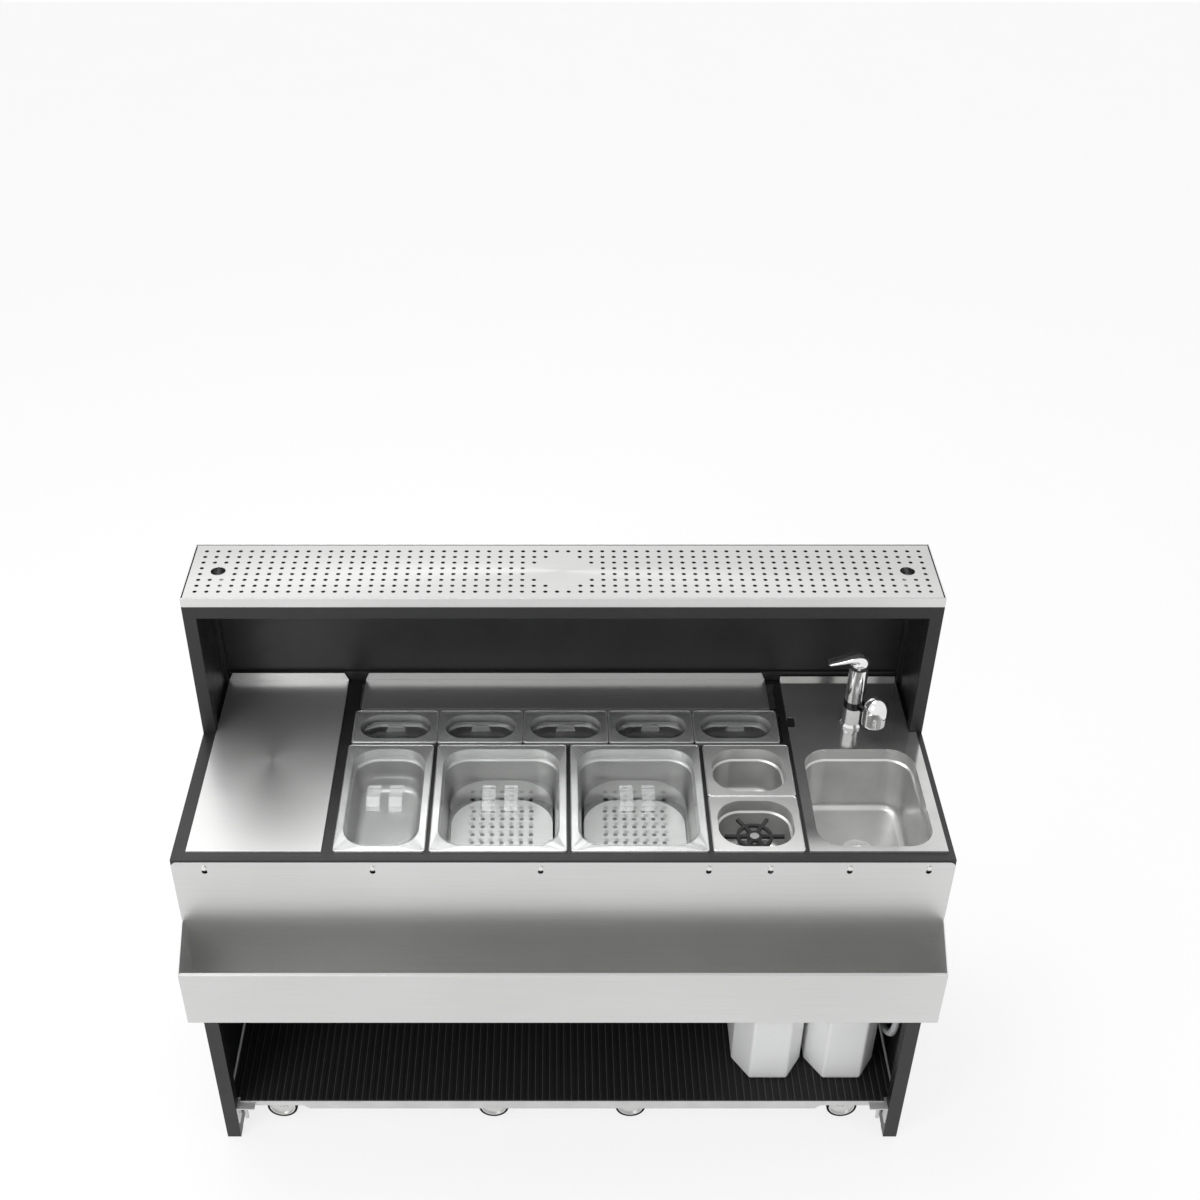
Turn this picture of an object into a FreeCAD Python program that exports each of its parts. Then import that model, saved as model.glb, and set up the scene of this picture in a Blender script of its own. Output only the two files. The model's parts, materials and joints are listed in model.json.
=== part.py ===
import FreeCAD, Part
import math
import os
import Sketcher
from FreeCAD import Placement, Rotation, Vector

# Portable bar in millimetres: X to the right, Y away from the bartender, Z up.
# The origin is on the floor, under the middle of the whole bar.

doc = FreeCAD.newDocument("portable_bar")
sheet = doc.addObject("Spreadsheet::Sheet", "Sizes")

# Driving dimensions, one cell each
DIMENSIONS = {
    # main frame
    "bar_width": 1500, "frame_depth": 590, "worktop_height": 850, "tube": 30, "tube_wall": 2,
    "foot_thick": 3, "foot_plug": 18, "plug_clearance": 0.1, "panel_thick": 2, "panel_inset": 10,
    "rack_bar": 20, "rack_ledge": 6, "sheet_thick": 1.5,
    # pan layout
    "pan_setback": 20, "right_margin": 12.5, "pan_gap": 8, "plate_gap": 22, "row_depth": 325,
    "half_width": 265, "third_width": 176, "sixth_depth": 162, "ninth_depth": 108, "ninth_gap": 2,
    "ninth_offset": 4, "row_gap": 8, "deck_gap": 6, "deck_inset": 11, "rear_margin": 18,
    # drawn pans
    "rim_lip": 5, "rim_corner": 7, "pan_wall": 1.2, "pan_flange": 14, "pan_corner": 52,
    "shoulder_depth": 26, "shoulder_step": 4, "pan_draft": 7, "pan_floor_radius": 16,
    "half_pan_depth": 150, "third_pan_depth": 100, "sixth_pan_depth": 100, "ninth_pan_depth": 65,
    "sink_depth": 150, "sink_flange": 20,
    # clear lids
    "lid_thick": 2, "lid_margin": 2, "lid_recess": 16, "lid_clearance": 1.5,
    "loop_width": 26, "loop_reach": 66, "loop_height": 24, "loop_thick": 3, "loop_spacing": 44,
    "grip_length": 42, "grip_thick": 6,
    # perforated plates inside the half pans
    "drain_plate_height": 22, "drain_plate_thick": 1.5, "drain_plate_gap": 3, "drain_hole": 10,
    "drain_pitch_x": 20, "drain_pitch_y": 24.4, "drain_corner": 78, "drain_foot": 8,
    # worktop plate and bottle deck
    "upstand": 18, "upstand_chamfer": 8, "post_clearance": 1.5,
    # gantry
    "gantry_depth": 200, "gantry_rise": 330, "post": 26, "web_thick": 4, "web_setback": 7,
    "groove_width": 14, "groove_depth": 1.5, "groove_foot": 85, "beam_height": 27,
    "lower_beam_depth": 14, "lower_beam_height": 22, "back_panel_setback": 7,
    "spigot_radius": 6, "spigot_length": 25, "sliding_clearance": 0.3,
    # drip tray and plate
    "tray_height": 20, "tray_ledge": 5, "plate_gap_ends": 4, "plate_gap_sides": 2, "plate_drop": 0.5,
    "hole_pitch_x": 23, "hole_pitch_y": 21.2, "hole_diameter": 8.5, "hole_margin": 18,
    "rinse_hole_diameter": 30,
    # speed rail
    "rail_reach": 97, "rail_top_drop": 10, "rail_bottom": 492, "rail_lip": 628,
    "rail_end_height": 683, "rail_hem": 8, "rail_hem_thick": 3, "rail_corner": 12, "rail_clearance": 0.3,
    "screw_drop": 23.5, "screw_radius": 2.5, "screw_head_radius": 4.6, "screw_head": 2.5,
    "screw_length": 15, "key_drop": 10, "key_radius": 5.5,
    "key_start_left": 63, "key_pitch_left": 322, "key_start_right": 49.5, "key_pitch_right": 151.5,
    # glass rinser
    "rinser_radius": 37, "rinser_height": 54, "valve_radius": 9, "valve_rise": 12,
    "star_ring": 33, "star_ring_width": 6, "star_span": 118, "star_arm": 7, "star_thick": 6,
    "star_travel": 6,
    # sink and tap
    "cable_notch_width": 15, "cable_notch_length": 32, "cable_notch_start": 60,
    "drain_radius": 35, "drain_pipe_radius": 16, "drain_tail": 60, "drain_flange": 2,
    "tap_setback": 71, "tap_radius": 20, "tap_base_radius": 24, "tap_base_height": 5,
    "tap_height": 146, "spout_height": 48, "spout_collar": 18, "spout_collar_wall": 5,
    "spout_reach": 63, "spout_turn": -57, "spout_arm_radius": 10, "spout_head_radius": 25,
    "spout_head_drop": 15, "spout_head_rise": 50, "spout_dome": 32, "spout_bore": 11,
    "cartridge_radius": 13, "cartridge_height": 16, "lever_radius": 21, "lever_height": 26,
    "lever_reach": 64, "lever_gap": 4, "shaft_radius": 4, "web_thick": 6, "web_width": 8,
    "lever_room": 20, "lever_width": 22, "lever_thick": 9, "running_clearance": 0.05,
    # lower shelf and wheels
    "shelf_top": 97, "shelf_sheet": 2, "shelf_setback": 22, "shelf_side_gap": 3, "shelf_leg_gap": 6,
    "flange_deep": 25, "flange_short": 14, "flange_step_x": 562, "flange_slope": 12,
    "mat_base": 2.5, "mat_rib": 1.5, "mat_pitch": 16, "mat_rib_width": 9, "mat_margin": 1,
    "bracket_width": 40, "bracket_length": 58, "bracket_thick": 3, "bracket_drop": 50, "bracket_gap": 1,
    "hook_radius": 4, "hook_length": 44, "hook_offset": 18,
    "axle_height": 39, "axle_radius": 5, "outer_axle_inset": 120, "inner_axle_x": 154,
    "wheel_setback": 60, "wheel_radius": 34, "wheel_width": 14, "wheel_lip": 4, "tyre_thick": 4,
    "tyre_gap": 0.1,
    "bearing_thick": 3, "bearing_gap": 6, "bearing_half": 18,
    # water cans, the drain hose and its caps
    "can_width": 155, "can_depth": 230, "can_height": 290, "can_chamfer_x": 36, "can_chamfer_y": 58,
    "can_wall": 2.5, "can_edge": 8, "can_setback": 62, "can_gap": 9, "can_side_gap": 36,
    "neck_radius": 22, "neck_bore": 19, "neck_height": 24, "neck_setback": 60,
    "handle_width": 22, "handle_length": 100, "handle_rise": 28, "handle_bar": 14, "handle_post": 16,
    "cap_radius": 27, "cap_height": 22, "cap_top": 4, "cap_clearance": 0.3, "nipple_height": 20,
    "hose_radius": 8,
}


class Size:
    """A value together with the expression that gives it in the document."""

    def __init__(self, value, text):
        self.value = float(value)
        self.text = text

    def __add__(self, other):
        other = as_size(other)
        return Size(self.value + other.value, f"({self.text} + {other.text})")

    def __sub__(self, other):
        other = as_size(other)
        return Size(self.value - other.value, f"({self.text} - {other.text})")

    def __mul__(self, factor):
        factor = as_size(factor)
        return Size(self.value * factor.value, f"({self.text} * {factor.text})")

    def __truediv__(self, divisor):
        return Size(self.value / divisor, f"({self.text} / {divisor})")

    def __radd__(self, other):
        return as_size(other) + self

    def __rsub__(self, other):
        return as_size(other) - self

    def __rmul__(self, factor):
        return as_size(factor) * self

    def __neg__(self):
        return Size(-self.value, f"(0 - {self.text})")


def as_size(thing):
    return thing if isinstance(thing, Size) else Size(thing, f"({thing})")


for row, (name, number) in enumerate(DIMENSIONS.items(), start=1):
    sheet.set(f"A{row}", name)
    sheet.set(f"B{row}", str(number))
    sheet.setAlias(f"B{row}", name)
doc.recompute()


def cell(name):
    """A driving dimension, read from its cell."""
    return Size(getattr(sheet, name), f"Sizes.{name}")


def bind(thing, path, size):
    thing.setExpression(path, as_size(size).text)


# Small builders, each making one object of the document

AXIS_TURN = {"x": Rotation(Vector(0, 1, 0), 90), "y": Rotation(Vector(1, 0, 0), -90), "z": Rotation()}
nodes = {}


def node(thing, label):
    """Marks an object as a finished sub-part."""
    thing.Label = label
    nodes[label] = thing
    return thing


def place(thing, point, turn=None):
    if turn is not None:
        thing.Placement = Placement(Vector(), turn)
    for axis, size in zip("xyz", point):
        bind(thing, f"Placement.Base.{axis}", size)


def box(name, x, y, z):
    """A block between the low and high ends given for each axis."""
    block = doc.addObject("Part::Box", name)
    for side, (low, high) in zip(("Length", "Width", "Height"), (x, y, z)):
        bind(block, side, high - low)
    place(block, (x[0], y[0], z[0]))
    return block


def cylinder(name, axis, start, radius, length):
    rod = doc.addObject("Part::Cylinder", name)
    bind(rod, "Radius", radius)
    bind(rod, "Height", length)
    place(rod, start, AXIS_TURN[axis])
    return rod


def fuse(name, pieces):
    joined = doc.addObject("Part::MultiFuse", name)
    joined.Shapes = pieces
    joined.Refine = True
    return joined


def cut(name, base, tools):
    removed = tools[0] if len(tools) == 1 else fuse(name + "_cuts", tools)
    left = doc.addObject("Part::Cut", name)
    left.Base = base
    left.Tool = removed
    return left


def group(name, pieces):
    """Separate identical solids that share one node."""
    together = doc.addObject("Part::Compound", name)
    together.Links = pieces
    return together


def rounded_edges(name, base, radius, wanted):
    """Fillets the edges whose middle point and direction satisfy the test."""
    doc.recompute()
    filleted = doc.addObject("Part::Fillet", name)
    filleted.Base = base
    chosen = []
    for number, edge in enumerate(base.Shape.Edges, start=1):
        if wanted(edge.CenterOfMass, edge.tangentAt(edge.FirstParameter)):
            chosen.append((number, radius.value, radius.value))
    filleted.Edges = chosen
    return filleted


def plain_shape(name, shape):
    feature = doc.addObject("Part::Feature", name)
    feature.Shape = shape
    return feature


def outline_sketch(body, name, plane, outline, offset):
    """A closed outline of straight lines whose corners follow the sizes."""
    sketch = body.newObject("Sketcher::SketchObject", name)
    support = [o for o in body.Origin.OriginFeatures if o.Role == plane + "_Plane"][0]
    sketch.AttachmentSupport = (support, [""])
    sketch.MapMode = "FlatFace"
    bind(sketch, "AttachmentOffset.Base.z", offset)
    corners = [(as_size(a), as_size(b)) for a, b in outline]
    points = [Vector(a.value, b.value, 0) for a, b in corners]
    for first, second in zip(points, points[1:] + points[:1]):
        sketch.addGeometry(Part.LineSegment(first, second), False)
    for line in range(len(points)):
        following = (line + 1) % len(points)
        sketch.addConstraint(Sketcher.Constraint("Coincident", line, 2, following, 1))
    for line, corner in enumerate(corners):
        for kind, size in zip(("DistanceX", "DistanceY"), corner):
            index = sketch.addConstraint(Sketcher.Constraint(kind, -1, 1, line, 1, size.value))
            sketch.setExpression(f"Constraints[{index}]", size.text)
    return sketch


def prism(name, plane, outline, start, length):
    """An outline in one plane, drawn out along the third axis from its start."""
    body = doc.addObject("PartDesign::Body", name)
    against = plane == "XZ"
    sketch = outline_sketch(body, name + "_outline", plane, outline, -start if against else start)
    pad = body.newObject("PartDesign::Pad", name + "_pad")
    pad.Profile = sketch
    pad.Reversed = against
    bind(pad, "Length", length)
    return body


def turned(name, outline, foot, turn=None):
    """An outline of radius and height, turned about its axis."""
    body = doc.addObject("PartDesign::Body", name)
    sketch = outline_sketch(body, name + "_outline", "XZ", outline, as_size(0))
    spin = body.newObject("PartDesign::Revolution", name + "_turn")
    spin.Profile = sketch
    spin.ReferenceAxis = (sketch, ["V_Axis"])
    spin.Angle = 360
    place(body, foot, turn)
    return body


def mirrored(name, original):
    """The same sub-part on the other side of the bar's middle plane."""
    twin = doc.addObject("Part::Mirroring", name)
    twin.Source = original
    twin.Normal = Vector(1, 0, 0)
    return twin


# Places that the pieces share

half_bar = cell("bar_width") / 2
tube = cell("tube")
wall = cell("tube_wall")
sheet_thick = cell("sheet_thick")
y_front = (cell("rail_reach") - cell("frame_depth")) / 2
y_back = (cell("rail_reach") + cell("frame_depth")) / 2
y_rail = -y_back
z_rim = cell("worktop_height")
z_seat = z_rim - cell("rim_lip")
z_top_frame = z_seat - tube
row_y = y_front + cell("pan_setback")
row_end = row_y + cell("row_depth")
gantry_y = y_back - cell("gantry_depth")
deck_end = y_back - cell("rear_margin")
z_top = z_rim + cell("gantry_rise")
z_tray = z_top - cell("tray_height")

gap = cell("pan_gap")
sink_x = (half_bar - cell("right_margin") - cell("half_width"), half_bar - cell("right_margin"))
sixth_x = (sink_x[0] - gap - cell("third_width"), sink_x[0] - gap)
half_right_x = (sixth_x[0] - gap - cell("half_width"), sixth_x[0] - gap)
half_left_x = (half_right_x[0] - gap - cell("half_width"), half_right_x[0] - gap)
third_x = (half_left_x[0] - gap - cell("third_width"), half_left_x[0] - gap)
plate_x = (cell("post") + cell("post_clearance") - half_bar, third_x[0] - cell("plate_gap"))
front_row = (row_y, row_end)
ninth_y = (row_end + cell("row_gap"), row_end + cell("row_gap") + cell("ninth_depth"))
deck_y = (ninth_y[1] + cell("deck_gap"), deck_end)
NINTH_COUNT = 5
ninth_pitch = cell("third_width") + cell("ninth_gap")
ninth_start = third_x[0] + cell("ninth_offset")
ninth_end = ninth_start + ninth_pitch * NINTH_COUNT - cell("ninth_gap")
deck_x = (ninth_start + cell("deck_inset"), ninth_end - cell("deck_inset"))
sink_middle = ((sink_x[0] + sink_x[1]) / 2, (row_y + row_end) / 2)


# End frames: two legs, a bottom rail and a top rail of square tube, with caps under the legs

def end_frame():
    x = (-half_bar, tube - half_bar)
    inside_x = (x[0] + wall, x[1] - wall)
    legs = [(y_front, y_front + tube), (y_back - tube, y_back)]
    rails = [(cell("foot_thick"), cell("foot_thick") + tube), (z_top_frame - tube, z_top_frame)]
    outer = [box(f"leg_{i}", x, y, (cell("foot_thick"), z_top_frame)) for i, y in enumerate(legs)]
    outer += [box(f"rail_{i}", x, (y_front, y_back), z) for i, z in enumerate(rails)]
    inner = [box(f"leg_hollow_{i}", inside_x, (y[0] + wall, y[1] - wall), (as_size(0), z_top_frame - wall))
             for i, y in enumerate(legs)]
    inner += [box(f"rail_hollow_{i}", inside_x, (y_front + wall, y_back - wall), (z[0] + wall, z[1] - wall))
              for i, z in enumerate(rails)]
    left = node(cut("left_end_frame", fuse("end_frame_tubes", outer), inner), "left_end_frame")
    node(mirrored("right_end_frame", left), "right_end_frame")


def foot_caps():
    caps = []
    plug_gap = wall + cell("plug_clearance")
    for side, x in enumerate(((-half_bar, tube - half_bar), (half_bar - tube, half_bar))):
        for end, y in enumerate(((y_front, y_front + tube), (y_back - tube, y_back))):
            sole = box(f"sole_{side}_{end}", x, y, (as_size(0), cell("foot_thick")))
            plug = box(f"plug_{side}_{end}", (x[0] + plug_gap, x[1] - plug_gap),
                       (y[0] + plug_gap, y[1] - plug_gap),
                       (as_size(0), cell("foot_thick") + cell("foot_plug")))
            caps.append(fuse(f"foot_cap_{side}_{end}", [sole, plug]))
    node(group("foot_caps", caps), "foot_caps")


def side_panels():
    x = (cell("panel_inset") - half_bar, cell("panel_inset") + cell("panel_thick") - half_bar)
    z = (cell("foot_thick") + tube, z_top_frame - tube)
    left = node(box("left_side_panel", x, (y_front + tube, y_back - tube), z), "left_side_panel")
    node(mirrored("right_side_panel", left), "right_side_panel")


def customer_panel():
    y = (y_back - cell("panel_inset") - cell("panel_thick"), y_back - cell("panel_inset"))
    z = (cell("foot_thick") + tube, z_top_frame)
    node(box("customer_panel", (tube - half_bar, half_bar - tube), y, z), "customer_panel")


# Top frame: a ring of square tube with bars that carry the rims of the pans

spigot_x = half_bar - cell("post") / 2
spigot_y = (gantry_y + cell("post") / 2, y_back - cell("post") / 2)
rack_z = (z_seat - cell("rack_bar"), z_seat)


def rack_bars():
    ledge = cell("rack_ledge")
    inside = (y_front + tube, y_back - tube)
    lengthwise = [(plate_x[1] - ledge, third_x[0] + ledge, inside),
                  (third_x[1] - ledge, half_left_x[0] + ledge, (inside[0], ninth_y[0])),
                  (half_left_x[1] - ledge, half_right_x[0] + ledge, (inside[0], ninth_y[0])),
                  (half_right_x[1] - ledge, sixth_x[0] + ledge, (inside[0], ninth_y[0])),
                  (sixth_x[1] - ledge, sink_x[0] + ledge, inside)]
    across = [(row_end - ledge, ninth_y[0] + ledge), (ninth_y[1] - ledge, deck_y[0] + ledge)]
    bars = [box(f"bar_{i}", (low, high), y, rack_z) for i, (low, high, y) in enumerate(lengthwise)]
    bars += [box(f"crossbar_{i}", (plate_x[1], sink_x[0]), y, rack_z) for i, y in enumerate(across)]
    return bars


def hanger_places():
    """Distances along X of the keyholes and of the screws behind them."""
    left = [cell("key_start_left") - half_bar + cell("key_pitch_left") * i for i in range(4)]
    right = [half_bar - cell("key_start_right") - cell("key_pitch_right") * i for i in range(3)]
    return left + right


screw_z = z_rim - cell("screw_drop")


def top_frame():
    z = (z_top_frame, z_seat)
    x = (-half_bar, half_bar)
    y = (y_front, y_back)
    blank = box("top_blank", x, y, z)
    window = box("top_window", (tube - half_bar, half_bar - tube), (y_front + tube, y_back - tube), z)
    hollow_outer = box("top_hollow_outer", (x[0] + wall, x[1] - wall), (y[0] + wall, y[1] - wall),
                       (z[0] + wall, z[1] - wall))
    hollow_inner = box("top_hollow_inner", (tube - half_bar - wall, half_bar - tube + wall),
                       (y_front + tube - wall, y_back - tube + wall), z)
    ring = cut("top_ring", cut("top_ring_solid", blank, [window]),
               [cut("top_hollow", hollow_outer, [hollow_inner])])
    sockets = []
    socket_floor = z_seat - cell("spigot_length") - 1
    for side, spot in enumerate((-spigot_x, spigot_x)):
        for end, depth in enumerate(spigot_y):
            sockets.append(cylinder(f"socket_{side}_{end}", "z", (spot, depth, socket_floor),
                                    cell("spigot_radius") + cell("sliding_clearance"),
                                    cell("spigot_length") + 2))
    for i, spot in enumerate(hanger_places()):
        sockets.append(cylinder(f"screw_hole_{i}", "y", (spot, y_front - 1, screw_z),
                                cell("screw_radius") + cell("running_clearance"), wall + 2))
    framed = fuse("top_frame_welded", [ring] + rack_bars())
    node(cut("top_frame", framed, sockets), "top_frame")


# Gantry: posts, webs and beams, with the back panel

def gantry():
    post = cell("post")
    z = (z_seat, z_tray)
    x = (-half_bar, post - half_bar)
    posts = [(gantry_y, gantry_y + post), (y_back - post, y_back)]
    web_x = (x[1] - cell("web_setback") - cell("web_thick"), x[1] - cell("web_setback"))
    pieces = [box(f"post_{i}", x, y, z) for i, y in enumerate(posts)]
    pieces.append(box("web", web_x, (posts[0][1], posts[1][0]), z))
    for i, depth in enumerate(spigot_y):
        pieces.append(cylinder(f"spigot_{i}", "z", (-spigot_x, depth, z_seat - cell("spigot_length")),
                               cell("spigot_radius"), cell("spigot_length") + 1))
    groove_y = (posts[0][1] + 4, posts[0][1] + 4 + cell("groove_width"))
    groove = box("groove", (web_x[1] - cell("groove_depth"), web_x[1] + 1), groove_y,
                 (z_rim + cell("groove_foot"), z_tray))
    groove_end = cylinder("groove_end", "x", (web_x[1] - cell("groove_depth"),
                                              (groove_y[0] + groove_y[1]) / 2,
                                              z_rim + cell("groove_foot")),
                          cell("groove_width") / 2, cell("groove_depth") + 1)
    left = node(cut("gantry_left_cheek", fuse("cheek_welded", pieces), [groove, groove_end]),
                "gantry_left_cheek")
    node(mirrored("gantry_right_cheek", left), "gantry_right_cheek")

    span = (post - half_bar, half_bar - post)
    beam_z = (z_tray - cell("beam_height"), z_tray)
    lower_z = (z_seat + 1, z_seat + 1 + cell("lower_beam_height"))
    beams = [box("front_beam", span, posts[0], beam_z), box("rear_beam", span, posts[1], beam_z),
             box("lower_beam", span, (y_back - cell("lower_beam_depth"), y_back), lower_z)]
    node(group("gantry_beams", beams), "gantry_beams")
    panel_y = (y_back - cell("back_panel_setback") - cell("panel_thick"), y_back - cell("back_panel_setback"))
    node(box("gantry_back_panel", span, panel_y, (lower_z[1], beam_z[0])), "gantry_back_panel")


def drip_tray():
    x, y = (-half_bar, half_bar), (gantry_y, y_back)
    blank = box("tray_blank", x, y, (z_tray, z_top))
    hollow = box("tray_hollow", (x[0] + sheet_thick, x[1] - sheet_thick),
                 (y[0] + sheet_thick, y[1] - sheet_thick), (z_tray + sheet_thick, z_top + 1))
    ledge_z = (z_tray + sheet_thick / 2, z_top - cell("plate_drop") - sheet_thick)
    ledge = sheet_thick + cell("tray_ledge")
    ledges = [box("front_ledge", x, (y[0], y[0] + ledge), ledge_z),
              box("rear_ledge", x, (y[1] - ledge, y[1]), ledge_z)]
    node(fuse("drip_tray", [cut("tray_folded", blank, [hollow])] + ledges), "drip_tray")


def circle_wire(x, y, radius):
    return Part.Wire(Part.Circle(Vector(x, y, 0), Vector(0, 0, 1), radius).toShape())


def perforations(x, y):
    """Hole centres and radii: a grid with a bare middle and a large hole near each end."""
    pitch_x, pitch_y = cell("hole_pitch_x").value, cell("hole_pitch_y").value
    margin = cell("hole_margin").value
    columns = int((x[1] - x[0] - 2 * margin) / pitch_x) + 1
    rows = int((y[1] - y[0] - 2 * margin) / pitch_y) + 1
    start_x = (x[0] + x[1] - (columns - 1) * pitch_x) / 2
    start_y = (y[0] + y[1] - (rows - 1) * pitch_y) / 2
    rinse_rows = (rows // 2 - 1, rows // 2)
    rinse_columns = ((1, 2), (columns - 3, columns - 2))
    holes = []
    for row in range(rows):
        bare = min(row, rows - 1 - row)
        for column in range(columns):
            from_middle = abs(column - (columns - 1) / 2)
            beside_rinse = row in rinse_rows and any(column in pair for pair in rinse_columns)
            if from_middle < bare or beside_rinse:
                continue
            holes.append((start_x + column * pitch_x, start_y + row * pitch_y,
                          cell("hole_diameter").value / 2))
    for first, second in rinse_columns:
        holes.append((start_x + (first + second) / 2 * pitch_x,
                      start_y + (rinse_rows[0] + rinse_rows[1]) / 2 * pitch_y,
                      cell("rinse_hole_diameter").value / 2))
    return holes


def drip_plate():
    edge_x = half_bar - cell("plate_gap_ends")
    x = (-edge_x.value, edge_x.value)
    side = sheet_thick + cell("plate_gap_sides")
    y = ((gantry_y + side).value, (y_back - side).value)
    top = (z_top - cell("plate_drop")).value
    thick = sheet_thick.value
    corners = [Vector(x[0], y[0], 0), Vector(x[1], y[0], 0), Vector(x[1], y[1], 0), Vector(x[0], y[1], 0)]
    outline = Part.makePolygon(corners + corners[:1])
    holes = [circle_wire(*hole) for hole in perforations(x, y)]
    face = Part.makeFace([outline] + holes, "Part::FaceMakerBullseye")
    face.translate(Vector(0, 0, top - thick))
    node(plain_shape("drip_plate", face.extrude(Vector(0, 0, thick))), "drip_plate")


# Speed rail: a folded sheet with end plates, hung on screws in keyholes

def speed_rail():
    back = y_front - cell("rail_clearance")
    top, bottom, lip = z_rim - cell("rail_top_drop"), cell("rail_bottom"), cell("rail_lip")
    end_height = cell("rail_end_height")
    hem, hem_low = y_rail + cell("rail_hem"), lip - cell("rail_hem_thick")
    fold = [(back, top), (back, bottom), (y_rail, bottom), (y_rail, lip), (hem, lip), (hem, hem_low),
            (y_rail + sheet_thick, hem_low), (y_rail + sheet_thick, bottom + sheet_thick),
            (back - sheet_thick, bottom + sheet_thick), (back - sheet_thick, top)]
    end = [(back, bottom), (y_rail, bottom), (y_rail, lip), (back - cell("rail_hem"), end_height),
           (back, end_height)]
    folded = prism("rail_fold", "YZ", fold, -half_bar, cell("bar_width"))
    ends = [prism("rail_end_left", "YZ", end, -half_bar, sheet_thick),
            prism("rail_end_right", "YZ", end, half_bar - sheet_thick, sheet_thick)]
    body = fuse("rail_welded", [folded] + ends)
    corner_z = top.value

    def top_corner(middle, direction):
        return abs(abs(middle.x) - half_bar.value) < 0.01 and abs(middle.z - corner_z) < 0.01

    rounded = rounded_edges("rail_rounded", body, cell("rail_corner"), top_corner)
    slot = cell("screw_radius") + cell("sliding_clearance")
    through = (back - sheet_thick - 1, back + 1)
    keys = []
    for i, spot in enumerate(hanger_places()):
        start, length = (spot, through[0], screw_z), through[1] - through[0]
        keys.append(cylinder(f"key_top_{i}", "y", start, slot, length))
        keys.append(box(f"key_slot_{i}", (spot - slot, spot + slot), through,
                        (screw_z - cell("key_drop"), screw_z)))
        keys.append(cylinder(f"key_hole_{i}", "y", (spot, through[0], screw_z - cell("key_drop")),
                             cell("key_radius"), length))
    node(cut("speed_rail", rounded, keys), "speed_rail")


def hanger_screws():
    face = y_front - cell("rail_clearance") * 2 - sheet_thick
    screws = []
    for i, spot in enumerate(hanger_places()):
        shank = cylinder(f"shank_{i}", "y", (spot, face, screw_z), cell("screw_radius"),
                         y_front + cell("screw_length") - face)
        head = cylinder(f"head_{i}", "y", (spot, face - cell("screw_head"), screw_z),
                        cell("screw_head_radius"), cell("screw_head"))
        screws.append(fuse(f"hanger_screw_{i}", [shank, head]))
    node(group("hanger_screws", screws), "hanger_screws")


# Sheet decks: a plate with turned-down edges and an upstand along the back

def sheet_deck(name, x, y):
    plate = box(name + "_plate", x, y, (z_seat, z_rim))
    under = box(name + "_under", (x[0] + sheet_thick, x[1] - sheet_thick),
                (y[0] + sheet_thick, y[1] - sheet_thick), (z_seat, z_rim - sheet_thick))
    chamfer, top = cell("upstand_chamfer"), z_rim + cell("upstand")
    upstand = prism(name + "_upstand", "XZ",
                    [(x[0], z_seat), (x[1], z_seat), (x[1], z_rim), (x[1] - chamfer, top),
                     (x[0] + chamfer, top), (x[0], z_rim)], y[1] - sheet_thick, sheet_thick)
    return node(fuse(name, [cut(name + "_folded", plate, [under]), upstand]), name)


# Drawn pans: a rim with a turned-down lip and a bowl with a stacking shoulder

def round_wire(x, y, z, radius):
    """A rectangle with round corners at one height."""
    radius = min(radius, (x[1] - x[0]) / 2 - 0.5, (y[1] - y[0]) / 2 - 0.5)
    bend = radius * (1 - math.sqrt(0.5))
    corners = ((x[1], y[0], -1, 1), (x[1], y[1], -1, -1), (x[0], y[1], 1, -1), (x[0], y[0], 1, 1))
    points = []
    for turn, (cx, cy, sx, sy) in enumerate(corners):
        along_y = Vector(cx, cy + sy * radius, z)
        along_x = Vector(cx + sx * radius, cy, z)
        first, last = (along_x, along_y) if turn % 2 == 0 else (along_y, along_x)
        points.append((first, Vector(cx + sx * bend, cy + sy * bend, z), last))
    edges = []
    for (first, middle, last), (following, _, _) in zip(points, points[1:] + points[:1]):
        edges.append(Part.Arc(first, middle, last).toShape())
        edges.append(Part.LineSegment(last, following).toShape())
    return Part.Wire(edges)


def bowl(x, y, levels, corner):
    """A solid through rounded rectangles, each given by its inset and height."""
    wires = [round_wire((x[0] + inset, x[1] - inset), (y[0] + inset, y[1] - inset), z,
                        max(corner - inset, 4)) for inset, z in levels]
    return Part.makeLoft(wires, True, True)


def floor_edges(solid, z):
    return [edge for edge in solid.Edges
            if all(abs(vertex.Point.z - z) < 0.01 for vertex in edge.Vertexes)]


def pan_solids(x, y, depth, side_flange):
    """The outside and the inside of a bowl below its opening."""
    flange, thick = cell("pan_flange").value, cell("pan_wall").value
    step, draft = cell("shoulder_step").value, cell("pan_draft").value
    corner, floor_radius = cell("pan_corner").value, cell("pan_floor_radius").value
    rim, shoulder = z_rim.value, z_rim.value - cell("shoulder_depth").value
    opening_x = (x[0].value + side_flange.value, x[1].value - side_flange.value)
    opening_y = (y[0].value + flange, y[1].value - flange)
    ledge = step * 0.75

    def stepped(grow, floor, top):
        levels = [(-grow, top), (-grow, shoulder - grow), (step - grow, shoulder - ledge - grow),
                  (step + draft - grow, floor)]
        solid = bowl(opening_x, opening_y, levels, corner)
        return solid.makeFillet(floor_radius + grow, floor_edges(solid, floor))

    floor = rim - depth.value
    return stepped(thick, floor, rim - thick / 2), stepped(0, floor + thick, rim + 1)


def rim_solid(x, y):
    lip, thick = cell("rim_lip").value, cell("pan_wall").value
    corner = cell("rim_corner").value

    def slab(inset, low, high):
        wire = round_wire((x[0].value + inset, x[1].value - inset), (y[0].value + inset, y[1].value - inset),
                          low, corner - inset)
        return Part.Face(wire).extrude(Vector(0, 0, high - low))

    seat = z_seat.value
    return slab(0, seat, seat + lip).cut(slab(thick, seat, seat + lip - thick))


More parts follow.
